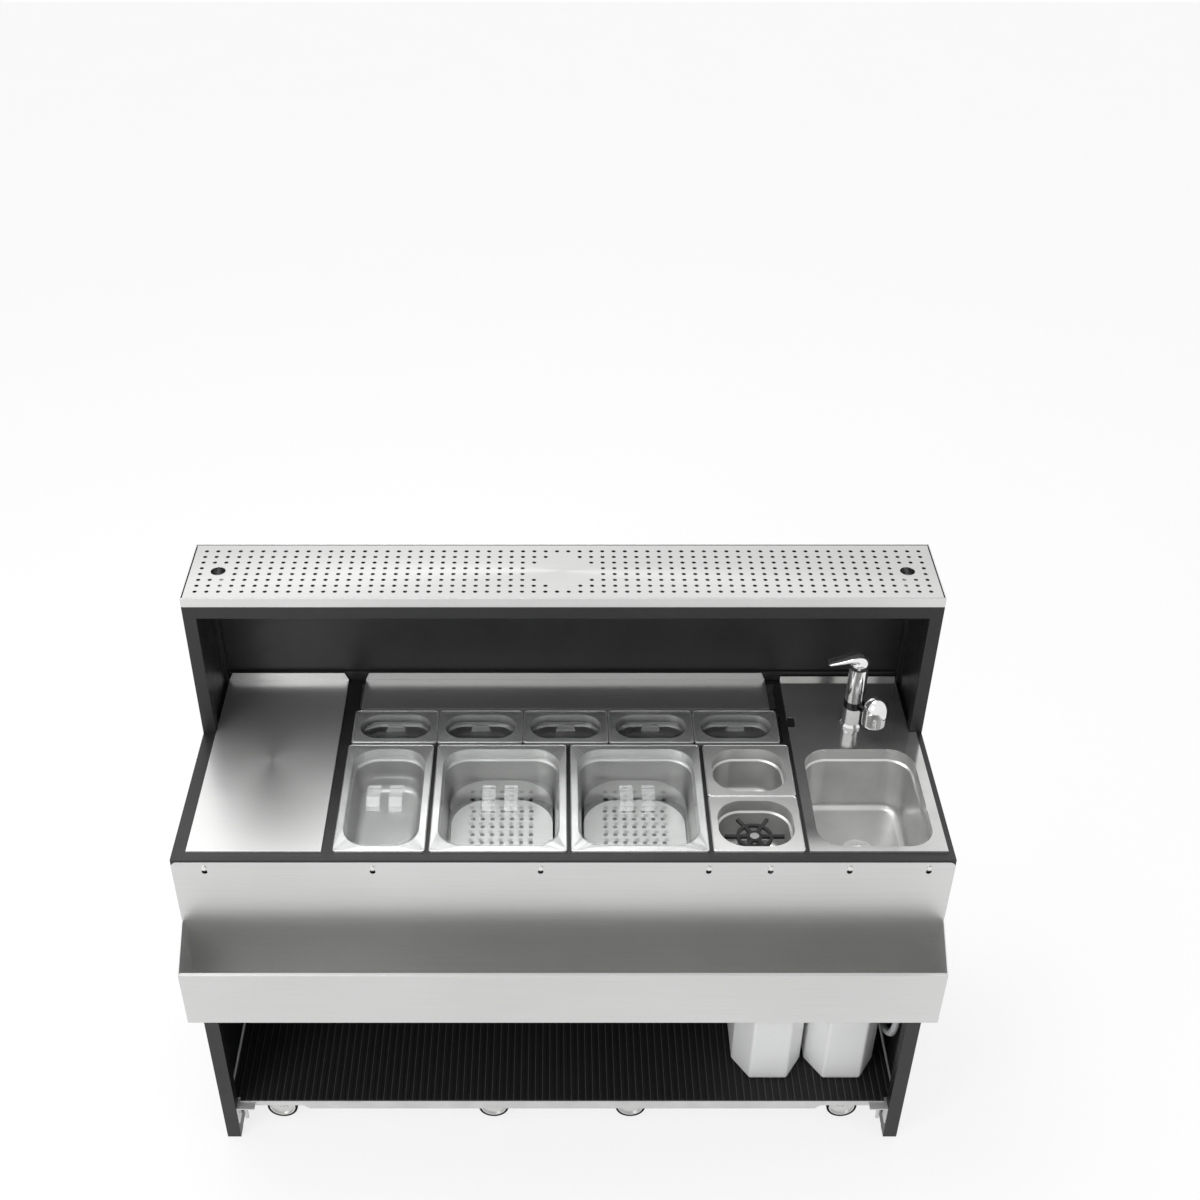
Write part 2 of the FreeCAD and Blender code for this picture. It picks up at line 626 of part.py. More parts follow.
def pan_shape(x, y, depth):
    outside, inside = pan_solids(x, y, depth, cell("pan_flange"))
    return rim_solid(x, y).fuse(outside).cut(inside).removeSplitter()


def pan(name, x, y, depth):
    return node(plain_shape(name, pan_shape(x, y, depth)), name)


# Clear lids that rest on the rims and dip into the bowls

def lid_tray(x, y):
    """The sheet of a lid: a flat border and a recess with an even wall."""
    margin, thick = cell("lid_margin").value, cell("lid_thick").value
    dip, clear = cell("lid_recess").value, cell("lid_clearance").value
    flange, corner = cell("pan_flange").value, cell("pan_corner").value
    rim = z_rim.value
    border_wire = round_wire((x[0].value + margin, x[1].value - margin),
                             (y[0].value + margin, y[1].value - margin), rim, cell("rim_corner").value)
    border = Part.Face(border_wire).extrude(Vector(0, 0, thick))
    opening_x = (x[0].value + flange, x[1].value - flange)
    opening_y = (y[0].value + flange, y[1].value - flange)
    slope = thick

    def dish(inset, low, high):
        return bowl(opening_x, opening_y, [(inset, high), (inset + slope, low)], corner)

    outside = dish(clear, rim - dip, rim + thick / 2)
    inside = dish(clear + thick, rim - dip + thick, rim + thick + 1)
    return border.fuse(outside).cut(inside).removeSplitter()


lid_floor = z_rim - cell("lid_recess") + cell("lid_thick")


def loop_lid(name, x, y):
    """A lid with two finger loops side by side in its recess."""
    tray = plain_shape(name + "_tray", lid_tray(x, y))
    middle_x, middle_y = (x[0] + x[1]) / 2, (y[0] + y[1]) / 2
    reach, height, thick = cell("loop_reach") / 2, cell("loop_height"), cell("loop_thick")
    crown = height / 2
    low = lid_floor - cell("lid_thick") / 2
    top = lid_floor + height
    loops = []
    for side, sign in enumerate((-1, 1)):
        start = middle_x + cell("loop_spacing") / 2 * sign - cell("loop_width") / 2
        outline = [(middle_y - reach, low), (middle_y - reach + thick, low),
                   (middle_y - reach + thick, top - crown), (middle_y - crown, top - thick),
                   (middle_y + crown, top - thick), (middle_y + reach - thick, top - crown),
                   (middle_y + reach - thick, low), (middle_y + reach, low),
                   (middle_y + reach, top - crown + thick / 2), (middle_y + crown + thick / 2, top),
                   (middle_y - crown - thick / 2, top), (middle_y - reach, top - crown + thick / 2)]
        loops.append(prism(f"{name}_loop_{side}", "YZ", outline, start, cell("loop_width")))
    return node(fuse(name, [tray] + loops), name)


def grip_lid(name, x, y):
    """A small lid with one upright grip in its recess."""
    tray = plain_shape(name + "_tray", lid_tray(x, y))
    middle_x, middle_y = (x[0] + x[1]) / 2, (y[0] + y[1]) / 2
    half_length, half_thick = cell("grip_length") / 2, cell("grip_thick") / 2
    foot, top = lid_floor - cell("lid_thick") / 2, z_rim + cell("lid_thick")
    slope = half_length / 4
    grip = prism(name + "_grip", "XZ",
                 [(middle_x - half_length, foot), (middle_x + half_length, foot),
                  (middle_x + half_length - slope, top), (middle_x - half_length + slope, top)],
                 middle_y - half_thick, cell("grip_thick"))
    return node(fuse(name, [tray, grip]), name)


# Perforated plates that keep ice off the floor of the half pans

def drain_plate(name, x, y, depth):
    flange, wide_gap = cell("pan_flange").value, cell("drain_plate_gap").value
    thick, height = cell("drain_plate_thick").value, cell("drain_plate_height").value
    floor = (z_rim - depth + cell("pan_wall")).value
    inset = flange + cell("shoulder_step").value + cell("pan_draft").value + wide_gap
    plate_x_ends = (x[0].value + inset, x[1].value - inset)
    plate_y_ends = (y[0].value + inset, y[1].value - inset)
    corner = cell("drain_corner").value
    under = floor + height
    outline = round_wire(plate_x_ends, plate_y_ends, 0, corner)
    pitch_x, pitch_y = cell("drain_pitch_x").value, cell("drain_pitch_y").value
    columns = int((plate_x_ends[1] - plate_x_ends[0] - corner) / pitch_x) // 2 * 2 + 1
    rows = int((plate_y_ends[1] - plate_y_ends[0] - 2 * pitch_y) / pitch_y) // 2 * 2 + 1
    first_x = sum(plate_x_ends) / 2 - columns // 2 * pitch_x
    first_y = sum(plate_y_ends) / 2 - rows // 2 * pitch_y
    hole = cell("drain_hole").value / 2
    holes = [circle_wire(first_x + i * pitch_x, first_y + j * pitch_y, hole)
             for i in range(columns) for j in range(rows)]
    face = Part.makeFace([outline] + holes, "Part::FaceMakerBullseye")
    face.translate(Vector(0, 0, under))
    sheet_part = plain_shape(name + "_sheet", face.extrude(Vector(0, 0, thick)))
    foot_x = (x[1] - x[0]) / 4
    foot_y = (y[1] - y[0]) / 4
    half_foot = cell("drain_foot") / 2
    base = z_rim - depth + cell("pan_wall")
    feet = []
    for i, sx in enumerate((-1, 1)):
        for j, sy in enumerate((-1, 1)):
            cx, cy = (x[0] + x[1]) / 2 + foot_x * sx, (y[0] + y[1]) / 2 + foot_y * sy
            feet.append(box(f"{name}_foot_{i}{j}", (cx - half_foot, cx + half_foot),
                            (cy - half_foot, cy + half_foot),
                            (base, base + cell("drain_plate_height") + cell("drain_plate_thick") / 2)))
    return node(fuse(name, [sheet_part] + feet), name)


# Glass rinser: a valve base in a pan, with a star that is pressed down

rinser_y = (row_y, row_y + cell("sixth_depth"))
sixth_y = (row_end - cell("sixth_depth"), row_end)
rinser_middle = ((sixth_x[0] + sixth_x[1]) / 2, (rinser_y[0] + rinser_y[1]) / 2)
rinser_floor = z_rim - cell("sixth_pan_depth") + cell("pan_wall")


def rinser():
    height, valve, dish_radius = cell("rinser_height"), cell("valve_radius"), cell("rinser_radius")
    valve_top = height + cell("valve_rise")
    dish = [(as_size(0), as_size(0)), (dish_radius, as_size(0)), (dish_radius, height / 2),
            (dish_radius * 0.7, height), (valve, height), (valve, valve_top), (as_size(0), valve_top)]
    node(turned("rinser_base", dish, (*rinser_middle, rinser_floor)), "rinser_base")

    clear, travel = cell("sliding_clearance"), cell("star_travel")
    low = rinser_floor + height + travel + clear
    high = low + cell("star_thick")
    ring, width = cell("star_ring"), cell("star_ring_width")
    hub_outer, hub_inner = valve + cell("star_ring_width"), valve + clear
    cx, cy = rinser_middle
    pieces = []
    for name, outer, inner in (("star_ring", ring + width / 2, ring - width / 2),
                               ("star_hub", hub_outer, hub_inner)):
        pieces.append(cut(name, cylinder(name + "_outer", "z", (cx, cy, low), outer, high - low),
                          [cylinder(name + "_inner", "z", (cx, cy, low - 1), inner, high - low + 2)]))
    for arm in range(6):
        bar = prism(f"star_arm_{arm}", "XY",
                    [(hub_inner + 1, -cell("star_arm") / 2), (cell("star_span") / 2, -cell("star_arm") / 2),
                     (cell("star_span") / 2, cell("star_arm") / 2), (hub_inner + 1, cell("star_arm") / 2)],
                    as_size(0), high - low)
        place(bar, (cx, cy, low), Rotation(Vector(0, 0, 1), 60 * arm))
        pieces.append(bar)
    node(fuse("rinser_star", pieces), "rinser_star")


# Sink: a half-size bowl in one sheet with the deck that carries the tap

tap_place = (sink_middle[0], row_end + cell("tap_setback"))


def sink():
    outside, inside = pan_solids(sink_x, front_row, cell("sink_depth"), cell("sink_flange"))
    narrow = half_bar - cell("post") - cell("post_clearance")
    notch_start = gantry_y - cell("post_clearance")
    deck = [box("sink_sheet", sink_x, (row_y, notch_start), (z_seat, z_rim)),
            box("sink_deck", (sink_x[0], narrow), (notch_start - 1, deck_end), (z_seat, z_rim))]
    under = [box("sink_under", (sink_x[0] + sheet_thick, sink_x[1] - sheet_thick),
                 (row_y + sheet_thick, notch_start - sheet_thick), (z_seat, z_rim - sheet_thick)),
             box("deck_under", (sink_x[0] + sheet_thick, narrow - sheet_thick),
                 (notch_start - sheet_thick - 1, deck_end - sheet_thick), (z_seat, z_rim - sheet_thick))]
    cable_y = row_end + cell("cable_notch_start")
    cable = box("cable_notch", (sink_x[0] - 1, sink_x[0] + cell("cable_notch_width")),
                (cable_y, cable_y + cell("cable_notch_length")), (z_seat - 1, z_rim + 1))
    upstand = box("sink_upstand", (sink_x[0], narrow), (deck_end - sheet_thick, deck_end),
                  (z_seat, z_rim + cell("upstand") / 2))
    drain_hole = cylinder("sink_drain_hole", "z", (*sink_middle, z_rim - cell("sink_depth") - 5),
                          cell("drain_pipe_radius") + cell("running_clearance"), as_size(20))
    sheet_part = cut("sink_folded", fuse("sink_blank", deck), under)
    formed = fuse("sink_formed", [sheet_part, upstand, plain_shape("sink_bowl", outside)])
    node(cut("sink_unit", formed, [plain_shape("sink_inside", inside), cable, drain_hole]), "sink_unit")


sink_floor = z_rim - cell("sink_depth") + cell("pan_wall")
drain_end = z_rim - cell("sink_depth") - cell("drain_tail")


def sink_drain():
    pipe, flange = cell("drain_pipe_radius"), cell("drain_flange")
    hose = cell("hose_radius")
    lower = sink_floor - cell("pan_wall") - drain_end
    upper = sink_floor - drain_end
    bore = hose * 0.75
    profile = [(bore, as_size(0)), (hose, as_size(0)), (hose, lower / 3), (pipe, lower / 2), (pipe, upper),
               (cell("drain_radius"), upper), (cell("drain_radius") - flange, upper + flange),
               (pipe, upper + flange / 2), (bore, upper - flange)]
    node(turned("sink_drain", profile, (*sink_middle, drain_end)), "sink_drain")


# Mixer tap: column, swivelling spout, cartridge and lever

def tap():
    cx, cy = tap_place
    radius, base, height = cell("tap_radius"), cell("tap_base_radius"), cell("tap_height")
    low, tall = cell("spout_height"), cell("spout_collar")
    clear = cell("running_clearance")
    neck = radius - cell("spout_collar_wall")
    hole, deep = cell("cartridge_radius") + clear, cell("cartridge_height")
    column = [(as_size(0), as_size(0)), (base, as_size(0)), (base, cell("tap_base_height")),
              (radius, cell("tap_base_height") * 2), (radius, low), (neck, low), (neck, low + tall),
              (radius, low + tall), (radius, height), (hole, height), (hole, height - deep),
              (as_size(0), height - deep)]
    node(turned("tap_column", column, (cx, cy, z_rim)), "tap_column")

    turn = Rotation(Vector(0, 0, 1), cell("spout_turn").value)
    gap_z, head = cell("sliding_clearance"), cell("spout_head_radius")
    drop, rise, bore = cell("spout_head_drop"), cell("spout_head_rise"), cell("spout_bore")
    collar = cut("spout_collar", cylinder("collar_outer", "z", (0, 0, gap_z), radius + 1, tall - gap_z * 2),
                 [cylinder("collar_inner", "z", (0, 0, -1), neck + clear, tall + 2)])
    arm = cylinder("spout_arm", "x", (neck + 2, 0, tall / 2), cell("spout_arm_radius") * 0.8,
                   cell("spout_reach") - neck)
    level, shoulder = tall / 2, rise - cell("spout_dome")
    barrel = turned("spout_barrel", [(bore, -drop), (head * 0.9, -drop), (head, -drop + 4), (head, shoulder),
                                     (as_size(0), shoulder), (as_size(0), -drop / 2), (bore, -drop / 2)],
                    (cell("spout_reach"), 0, level))
    dome = doc.addObject("Part::Ellipsoid", "spout_dome")
    dome.Angle1 = 0
    bind(dome, "Radius1", cell("spout_dome"))
    bind(dome, "Radius2", head)
    bind(dome, "Radius3", head)
    place(dome, (cell("spout_reach"), 0, level + shoulder))
    spout = fuse("tap_spout", [collar, arm, barrel, dome])
    place(spout, (cx, cy, z_rim + low), turn)
    node(spout, "tap_spout")

    top = z_rim + height
    pivot = top + cell("lever_height") / 2
    stem = cylinder("cartridge_stem", "z", (cx, cy, top - deep + gap_z), cell("cartridge_radius"),
                    deep - 1 - gap_z)
    shaft_radius, shaft_half = cell("shaft_radius"), cell("cartridge_radius") * 0.8
    web_x, web_y = cell("web_thick") / 2, cell("web_width") / 2
    shaft = cylinder("cartridge_shaft", "y", (cx, cy - shaft_half, pivot), shaft_radius, shaft_half * 2)
    web = box("cartridge_web", (cx - web_x, cx + web_x), (cy - web_y, cy + web_y), (top - 2, pivot))
    node(fuse("tap_cartridge", [stem, shaft, web]), "tap_cartridge")

    cap_r, cap_h = cell("lever_radius"), cell("lever_height")
    low_z, reach = top + cell("lever_gap"), cell("lever_reach")
    cap = turned("lever_cap", [(as_size(0), as_size(0)), (cap_r * 0.6, as_size(0)), (cap_r, 7),
                               (cap_r, cap_h * 0.6), (cap_r * 0.8, cap_h), (as_size(0), cap_h + 2)],
                 (cx, cy, low_z))
    blade = prism("lever_blade", "XZ",
                  [(cx, low_z + cap_h * 0.3), (cx, low_z + cap_h + 1),
                   (cx - cap_r, low_z + cap_h - 3), (cx - reach, low_z + cell("lever_thick")),
                   (cx - reach, low_z + cell("lever_thick") / 2), (cx - cap_r, low_z + cap_h * 0.3)],
                  cy - cell("lever_width") / 2, cell("lever_width"))
    room_x, room_y = cell("lever_room") / 2, web_y + gap_z
    room = [cylinder("lever_bore", "y", (cx, cy - shaft_half - gap_z, pivot), shaft_radius + clear,
                     (shaft_half + gap_z) * 2),
            box("lever_room", (cx - room_x, cx + room_x), (cy - room_y, cy + room_y), (low_z - 1, pivot))]
    node(cut("tap_lever", fuse("lever_solid", [cap, blade]), room), "tap_lever")


# Lower shelf: a tray with notched flanges, end brackets and bearing plates, under a ribbed mat

shelf_top = cell("shelf_top")
shelf_y = (y_front + cell("shelf_setback"), y_back - cell("shelf_setback"))
shelf_wide = half_bar - cell("panel_inset") - cell("panel_thick") - cell("shelf_side_gap")
shelf_narrow = half_bar - tube - cell("shelf_leg_gap")
leg_room = (y_front + tube + 2, y_back - tube - 2)
outer_axle = half_bar - cell("outer_axle_inset")
axle_x = [-outer_axle, -cell("inner_axle_x"), cell("inner_axle_x"), outer_axle]
wheel_y = (y_front + cell("wheel_setback"), y_back - cell("wheel_setback"))


def shelf_flange(name, y):
    deep, short = shelf_top - cell("flange_deep"), shelf_top - cell("flange_short")
    step, slope = cell("flange_step_x"), cell("flange_slope")
    outline = [(-shelf_narrow, shelf_top), (-shelf_narrow, short), (-step - slope, short), (-step, deep),
               (step, deep), (step + slope, short), (shelf_narrow, short), (shelf_narrow, shelf_top)]
    return prism(name, "XZ", outline, y, cell("shelf_sheet"))


def shelf_brackets():
    """An angle at each leg with a hook pin, part of the welded tray."""
    pieces = []
    thick, under = cell("bracket_thick"), shelf_top - cell("shelf_sheet")
    panel_face = y_back - cell("panel_inset") - cell("panel_thick") - cell("bracket_gap")
    for side, sign in enumerate((-1, 1)):
        outer = (half_bar - tube) * sign
        inner = (half_bar - tube - cell("bracket_width")) * sign
        upright = (half_bar - tube - thick) * sign
        ordered = (outer, inner) if sign < 0 else (inner, outer)
        plate = (outer, upright) if sign < 0 else (upright, outer)
        for end, (low, high) in enumerate(((y_front, y_front + cell("bracket_length")),
                                           (y_back - cell("bracket_length"), y_back))):
            inward = (low + 2, high) if end == 0 else (low, panel_face)
            leg = (y_front + 2, y_front + tube - 2) if end == 0 else (y_back - tube + 2, panel_face)
            pin_y = (leg[0] + leg[1]) / 2
            pin_x = (half_bar - tube - cell("hook_offset")) * sign
            pieces += [box(f"tab_{side}{end}", ordered, inward, (under - thick, under)),
                       box(f"upright_{side}{end}", plate, leg, (under - cell("bracket_drop"), under)),
                       cylinder(f"hook_{side}{end}", "z", (pin_x, pin_y, under - cell("hook_length")),
                                cell("hook_radius"), cell("hook_length") - 1)]
    return pieces


def bearing_plates():
    pieces, bores = [], []
    half, thick = cell("bearing_half"), cell("bearing_thick")
    away = cell("wheel_width") / 2 + cell("bearing_gap")
    rows = (wheel_y[0] + away, wheel_y[1] - away - thick)
    for i, spot in enumerate(axle_x):
        for j, y in enumerate(rows):
            pieces.append(box(f"bearing_{i}{j}", (spot - half, spot + half), (y, y + thick),
                              (cell("axle_height") - half, shelf_top - cell("shelf_sheet") / 2)))
        bores.append(cylinder(f"bearing_bore_{i}", "y", (spot, wheel_y[0], cell("axle_height")),
                              cell("axle_radius") + cell("running_clearance"), wheel_y[1] - wheel_y[0]))
    return pieces, bores


def shelf():
    z = (shelf_top - cell("shelf_sheet"), shelf_top)
    plates = [box("shelf_plate", (-shelf_wide, shelf_wide), leg_room, z),
              box("shelf_strip", (-shelf_narrow, shelf_narrow), shelf_y, z),
              shelf_flange("front_flange", shelf_y[0]),
              shelf_flange("rear_flange", shelf_y[1] - cell("shelf_sheet"))]
    bearings, bores = bearing_plates()
    welded = fuse("shelf_welded", plates + shelf_brackets() + bearings)
    node(cut("shelf_tray", welded, bores), "shelf_tray")


def shelf_mat():
    """A rubber mat whose ribs run front to back, trimmed round the legs."""
    margin, rib, base = cell("mat_margin"), cell("mat_rib").value, cell("mat_base").value
    wide = (shelf_wide - margin).value
    narrow = (shelf_narrow - margin).value
    low = shelf_top.value
    pitch, width = cell("mat_pitch").value, cell("mat_rib_width").value
    count = int((2 * wide - width) / pitch) + 1
    start = -((count - 1) * pitch + width) / 2
    profile = [Vector(-wide, 0, low), Vector(wide, 0, low), Vector(wide, 0, low + base)]
    for i in reversed(range(count)):
        left = start + i * pitch
        profile += [Vector(left + width, 0, low + base), Vector(left + width, 0, low + base + rib),
                    Vector(left, 0, low + base + rib), Vector(left, 0, low + base)]
    profile.append(Vector(-wide, 0, low + base))
    face = Part.Face(Part.makePolygon(profile + profile[:1]))
    y = ((shelf_y[0] + margin).value, (shelf_y[1] - margin).value)
    face.translate(Vector(0, y[0], 0))
    ribbed = plain_shape("mat_ribbed", face.extrude(Vector(0, y[1] - y[0], 0)))
    corners = []
    inner, outer = shelf_narrow - margin, shelf_wide + 1
    for i, x in enumerate(((-outer, -inner), (inner, outer))):
        for j, ends in enumerate(((y_front, leg_room[0] + margin), (leg_room[1] - margin, y_back))):
            corners.append(box(f"mat_corner_{i}{j}", x, ends, (shelf_top - 1, shelf_top + 10)))
    node(cut("shelf_mat", ribbed, corners), "shelf_mat")


def wheelsets():
    half_width = cell("wheel_width") / 2
    hub = cell("wheel_radius") - cell("tyre_thick") - cell("tyre_gap")
    axle_ends = (wheel_y[0] - half_width - 3, wheel_y[1] + half_width + 3)
    boss = cell("axle_radius") * 2
    rim = hub - cell("wheel_lip")
    for i, x in enumerate(axle_x):
        level = cell("axle_height")
        pieces = [cylinder(f"axle_{i}", "y", (x, axle_ends[0], level), cell("axle_radius"),
                           axle_ends[1] - axle_ends[0])]
        tyres = []
        for j, y in enumerate(wheel_y):
            profile = [(as_size(0), -half_width - 1), (boss, -half_width - 1), (boss, -half_width / 2),
                       (rim, -half_width / 2), (rim, -half_width), (hub, -half_width), (hub, half_width),
                       (rim, half_width), (rim, half_width / 2), (boss, half_width / 2),
                       (boss, half_width + 1), (as_size(0), half_width + 1)]
            pieces.append(turned(f"hub_{i}{j}", profile, (x, y, level), AXIS_TURN["y"]))
            inner, outer, bevel = hub + cell("tyre_gap"), cell("wheel_radius"), cell("tyre_thick") / 2
            ring = [(inner, -half_width), (outer - bevel, -half_width), (outer, -half_width + bevel),
                    (outer, half_width - bevel), (outer - bevel, half_width), (inner, half_width)]
            tyres.append(turned(f"tyre_{i}{j}", ring, (x, y, level), AXIS_TURN["y"]))
        node(fuse(f"wheelset_{i + 1}", pieces), f"wheelset_{i + 1}")
        node(group(f"tyres_{i + 1}", tyres), f"tyres_{i + 1}")


# Water cans with necks, caps and handles

mat_top = shelf_top + cell("mat_base") + cell("mat_rib")
can_right_x = half_bar - cell("panel_inset") - cell("panel_thick") - cell("can_side_gap")
can_places = {"right_can": can_right_x - cell("can_width"),
              "left_can": can_right_x - cell("can_width") * 2 - cell("can_gap")}
can_y = row_y + cell("can_setback")
can_top = mat_top + cell("can_height")
neck_y = can_y + cell("neck_setback")


def can_prism(name, x0, inset, low, high):
    x = (x0 + inset, x0 + cell("can_width") - inset)
    y = (can_y + inset, can_y + cell("can_depth") - inset)
    cx, cy = cell("can_chamfer_x"), cell("can_chamfer_y")
    outline = [(x[0] + cx, y[0]), (x[1] - cx, y[0]), (x[1], y[0] + cy), (x[1], y[1] - cy), (x[1] - cx, y[1]),
               (x[0] + cx, y[1]), (x[0], y[1] - cy), (x[0], y[0] + cy)]
    sharp = prism(name + "_sharp", "XY", outline, low, high - low)
    return rounded_edges(name, sharp, cell("can_edge") - inset, lambda middle, direction: True)


def can(name):
    x0, thick = can_places[name], cell("can_wall")
    middle = x0 + cell("can_width") / 2
    shell = can_prism(name + "_outside", x0, as_size(0), mat_top, can_top)
    hollow = can_prism(name + "_inside", x0, thick, mat_top + thick, can_top - thick)
    neck = cylinder(name + "_neck", "z", (middle, neck_y, can_top - thick / 2), cell("neck_radius"),
                    cell("neck_height") + thick / 2)
    mouth = cylinder(name + "_mouth", "z", (middle, neck_y, can_top - thick - 1), cell("neck_bore"),
                     cell("neck_height") + thick + 2)
    x = (middle - cell("handle_width") / 2, middle + cell("handle_width") / 2)
    start = neck_y + cell("neck_radius") * 2
    end = start + cell("handle_length")
    top = can_top + cell("handle_rise") + cell("handle_bar")
    handle = [box(name + "_bar", x, (start, end), (top - cell("handle_bar"), top)),
              box(name + "_front_post", x, (start, start + cell("handle_post")), (can_top - thick / 2, top)),
              box(name + "_rear_post", x, (end - cell("handle_post"), end), (can_top - thick / 2, top))]
    node(cut(name, fuse(name + "_moulded", [shell, neck] + handle), [hollow, mouth]), name)


cap_foot = can_top + cell("neck_height") + cell("cap_top") - cell("cap_height")


def can_cap(can_name, with_nipple):
    middle = can_places[can_name] + cell("can_width") / 2
    inner = cell("neck_radius") + cell("cap_clearance")
    height, deep = cell("cap_height"), cell("cap_height") - cell("cap_top")
    hose = cell("hose_radius")
    profile = [(inner, as_size(0)), (cell("cap_radius"), as_size(0)), (cell("cap_radius"), height - 2),
               (cell("cap_radius") - 2, height)]
    if with_nipple:
        tall = height + cell("nipple_height")
        profile += [(hose, height), (hose, tall), (hose * 0.75, tall), (hose * 0.75, deep), (inner, deep)]
    else:
        profile += [(as_size(0), height), (as_size(0), deep), (inner, deep)]
    node(turned(can_name + "_cap", profile, (middle, neck_y, cap_foot)), can_name + "_cap")


# Drain hose: straight runs joined by tangent arcs, from the sink drain to the right can

def hose_route():
    """Points chosen by hand, measured from the sink drain and from the can's nipple."""
    top = Vector(sink_middle[0].value, sink_middle[1].value, drain_end.value)
    nipple_z = (cap_foot + cell("cap_height") + cell("nipple_height")).value
    end = Vector((can_places["right_can"] + cell("can_width") / 2).value, neck_y.value, nipple_z)
    beside = can_right_x.value + 18
    front = can_y.value
    from_drain = [Vector(0, 0, 0), Vector(0, 0, -56), Vector(44, -46, -108), Vector(84, -86, -166)]
    down = [(-6, -10, 405), (0, -18, 330), (1, 0, 250), (0, 64, 195), (0, 140, 196), (0, 198, 250),
            (0, 205, 345)]
    into_can = [Vector(95.5, 147, 66), Vector(48, 73.5, 117), Vector(0, 0, 66), Vector(0, 0, 0)]
    route = [top + step for step in from_drain]
    route += [Vector(beside + dx, front + dy, z) for dx, dy, z in down]
    route += [end + step for step in into_can]
    return route


def hose():
    route = hose_route()
    radius = cell("hose_radius").value
    edges, here, bends = [], route[0], []
    for before, point, after in zip(route, route[1:], route[2:]):
        back, ahead = before - point, after - point
        turn = math.pi - back.getAngle(ahead)
        shares = (0.9 if before is route[0] else 0.48, 0.9 if after is route[-1] else 0.48)
        reach = min(back.Length * shares[0], ahead.Length * shares[1])
        bends.append(reach / math.tan(turn / 2))
        arc_start = point + back.normalize() * reach
        arc_end = point + ahead.normalize() * reach
        middle_way = (back + ahead).normalize()
        centre_distance = bends[-1] / math.cos(turn / 2)
        arc_middle = point + middle_way * (centre_distance - bends[-1])
        edges.append(Part.LineSegment(here, arc_start).toShape())
        edges.append(Part.Arc(arc_start, arc_middle, arc_end).toShape())
        here = arc_end
    edges.append(Part.LineSegment(here, route[-1]).toShape())
    path = Part.Wire(edges)
    section = Part.Wire(Part.Circle(route[0], Vector(0, 0, 1), radius).toShape())
    tube_shape = path.makePipeShell([section], True, True)
    ideal = math.pi * radius ** 2 * path.Length
    print("hose bends, mm:", [round(bend) for bend in bends])
    print("hose length, mm:", round(path.Length), "volume against section times length:",
          round(tube_shape.Volume / ideal, 4))
    node(plain_shape("drain_hose", tube_shape), "drain_hose")


end_frame()
foot_caps()
side_panels()
customer_panel()
top_frame()
gantry()
drip_tray()
drip_plate()
speed_rail()
hanger_screws()
sheet_deck("worktop_plate", plate_x, (row_y, deck_end))
sheet_deck("bottle_deck", deck_x, deck_y)
for i in range(NINTH_COUNT):
    ninth_x = (ninth_start + ninth_pitch * i, ninth_start + ninth_pitch * i + cell("third_width"))
    pan(f"ninth_pan_{i + 1}", ninth_x, ninth_y, cell("ninth_pan_depth"))
    grip_lid(f"ninth_lid_{i + 1}", ninth_x, ninth_y)
pan("third_pan", third_x, front_row, cell("third_pan_depth"))
loop_lid("third_lid", third_x, front_row)
for side, x in (("left", half_left_x), ("right", half_right_x)):
    pan("half_pan_" + side, x, front_row, cell("half_pan_depth"))
    loop_lid("half_lid_" + side, x, front_row)
    drain_plate("drain_plate_" + side, x, front_row, cell("half_pan_depth"))
pan("sixth_pan", sixth_x, sixth_y, cell("sixth_pan_depth"))
pan("rinser_pan", sixth_x, rinser_y, cell("sixth_pan_depth"))
rinser()
sink()
sink_drain()
tap()
shelf()
shelf_mat()
wheelsets()
for name in can_places:
    can(name)
can_cap("left_can", False)
can_cap("right_can", True)
hose()
doc.recompute()

# Every object has to be sound before anything is written
for thing in doc.Objects:
    if "Invalid" in thing.State or "Error" in thing.State:
        raise RuntimeError(f"{thing.Label} failed: {thing.getStatusString()}")
for label, thing in nodes.items():
    if thing.Shape.isNull() or not thing.Shape.isValid():
        raise RuntimeError(f"{label} has no valid shape")

os.makedirs("parts", exist_ok=True)
for label, thing in nodes.items():
    thing.Shape.exportStep(f"parts/{label}.step")
print(len(nodes), "sub-parts written")
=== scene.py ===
import json
import math

import bmesh
import bpy
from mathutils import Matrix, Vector


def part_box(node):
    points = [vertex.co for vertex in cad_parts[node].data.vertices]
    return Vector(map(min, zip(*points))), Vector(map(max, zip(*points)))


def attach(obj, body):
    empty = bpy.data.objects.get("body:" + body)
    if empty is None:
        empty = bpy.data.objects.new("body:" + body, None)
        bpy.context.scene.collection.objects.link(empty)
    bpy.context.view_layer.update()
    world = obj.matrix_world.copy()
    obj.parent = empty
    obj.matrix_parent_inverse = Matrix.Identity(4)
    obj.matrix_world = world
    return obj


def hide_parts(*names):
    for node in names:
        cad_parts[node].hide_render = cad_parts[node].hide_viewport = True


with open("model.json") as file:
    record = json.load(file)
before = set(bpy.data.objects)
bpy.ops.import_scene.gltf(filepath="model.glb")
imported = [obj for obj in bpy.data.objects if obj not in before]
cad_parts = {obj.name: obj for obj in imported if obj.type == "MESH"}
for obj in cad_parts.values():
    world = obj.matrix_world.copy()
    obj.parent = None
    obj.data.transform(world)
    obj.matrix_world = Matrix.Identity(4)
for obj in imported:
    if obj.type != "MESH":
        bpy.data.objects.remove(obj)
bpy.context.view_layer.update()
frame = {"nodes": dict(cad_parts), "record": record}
nodes = frame["nodes"]
scene = bpy.context.scene

MM = 0.001
UP = Vector((0, 0, 1))
NINTH_COUNT = 5
WHEELSET_COUNT = 4


# Camera, at the photograph's angle

CAMERA_PLACE = Vector((-0.0135, -2.502, 2.935))
CAMERA_PITCH = math.radians(49.52)
CAMERA_LENS = 48.38
CAMERA_SENSOR = 36
CAMERA_SHIFT = (0.0366, 0.162)


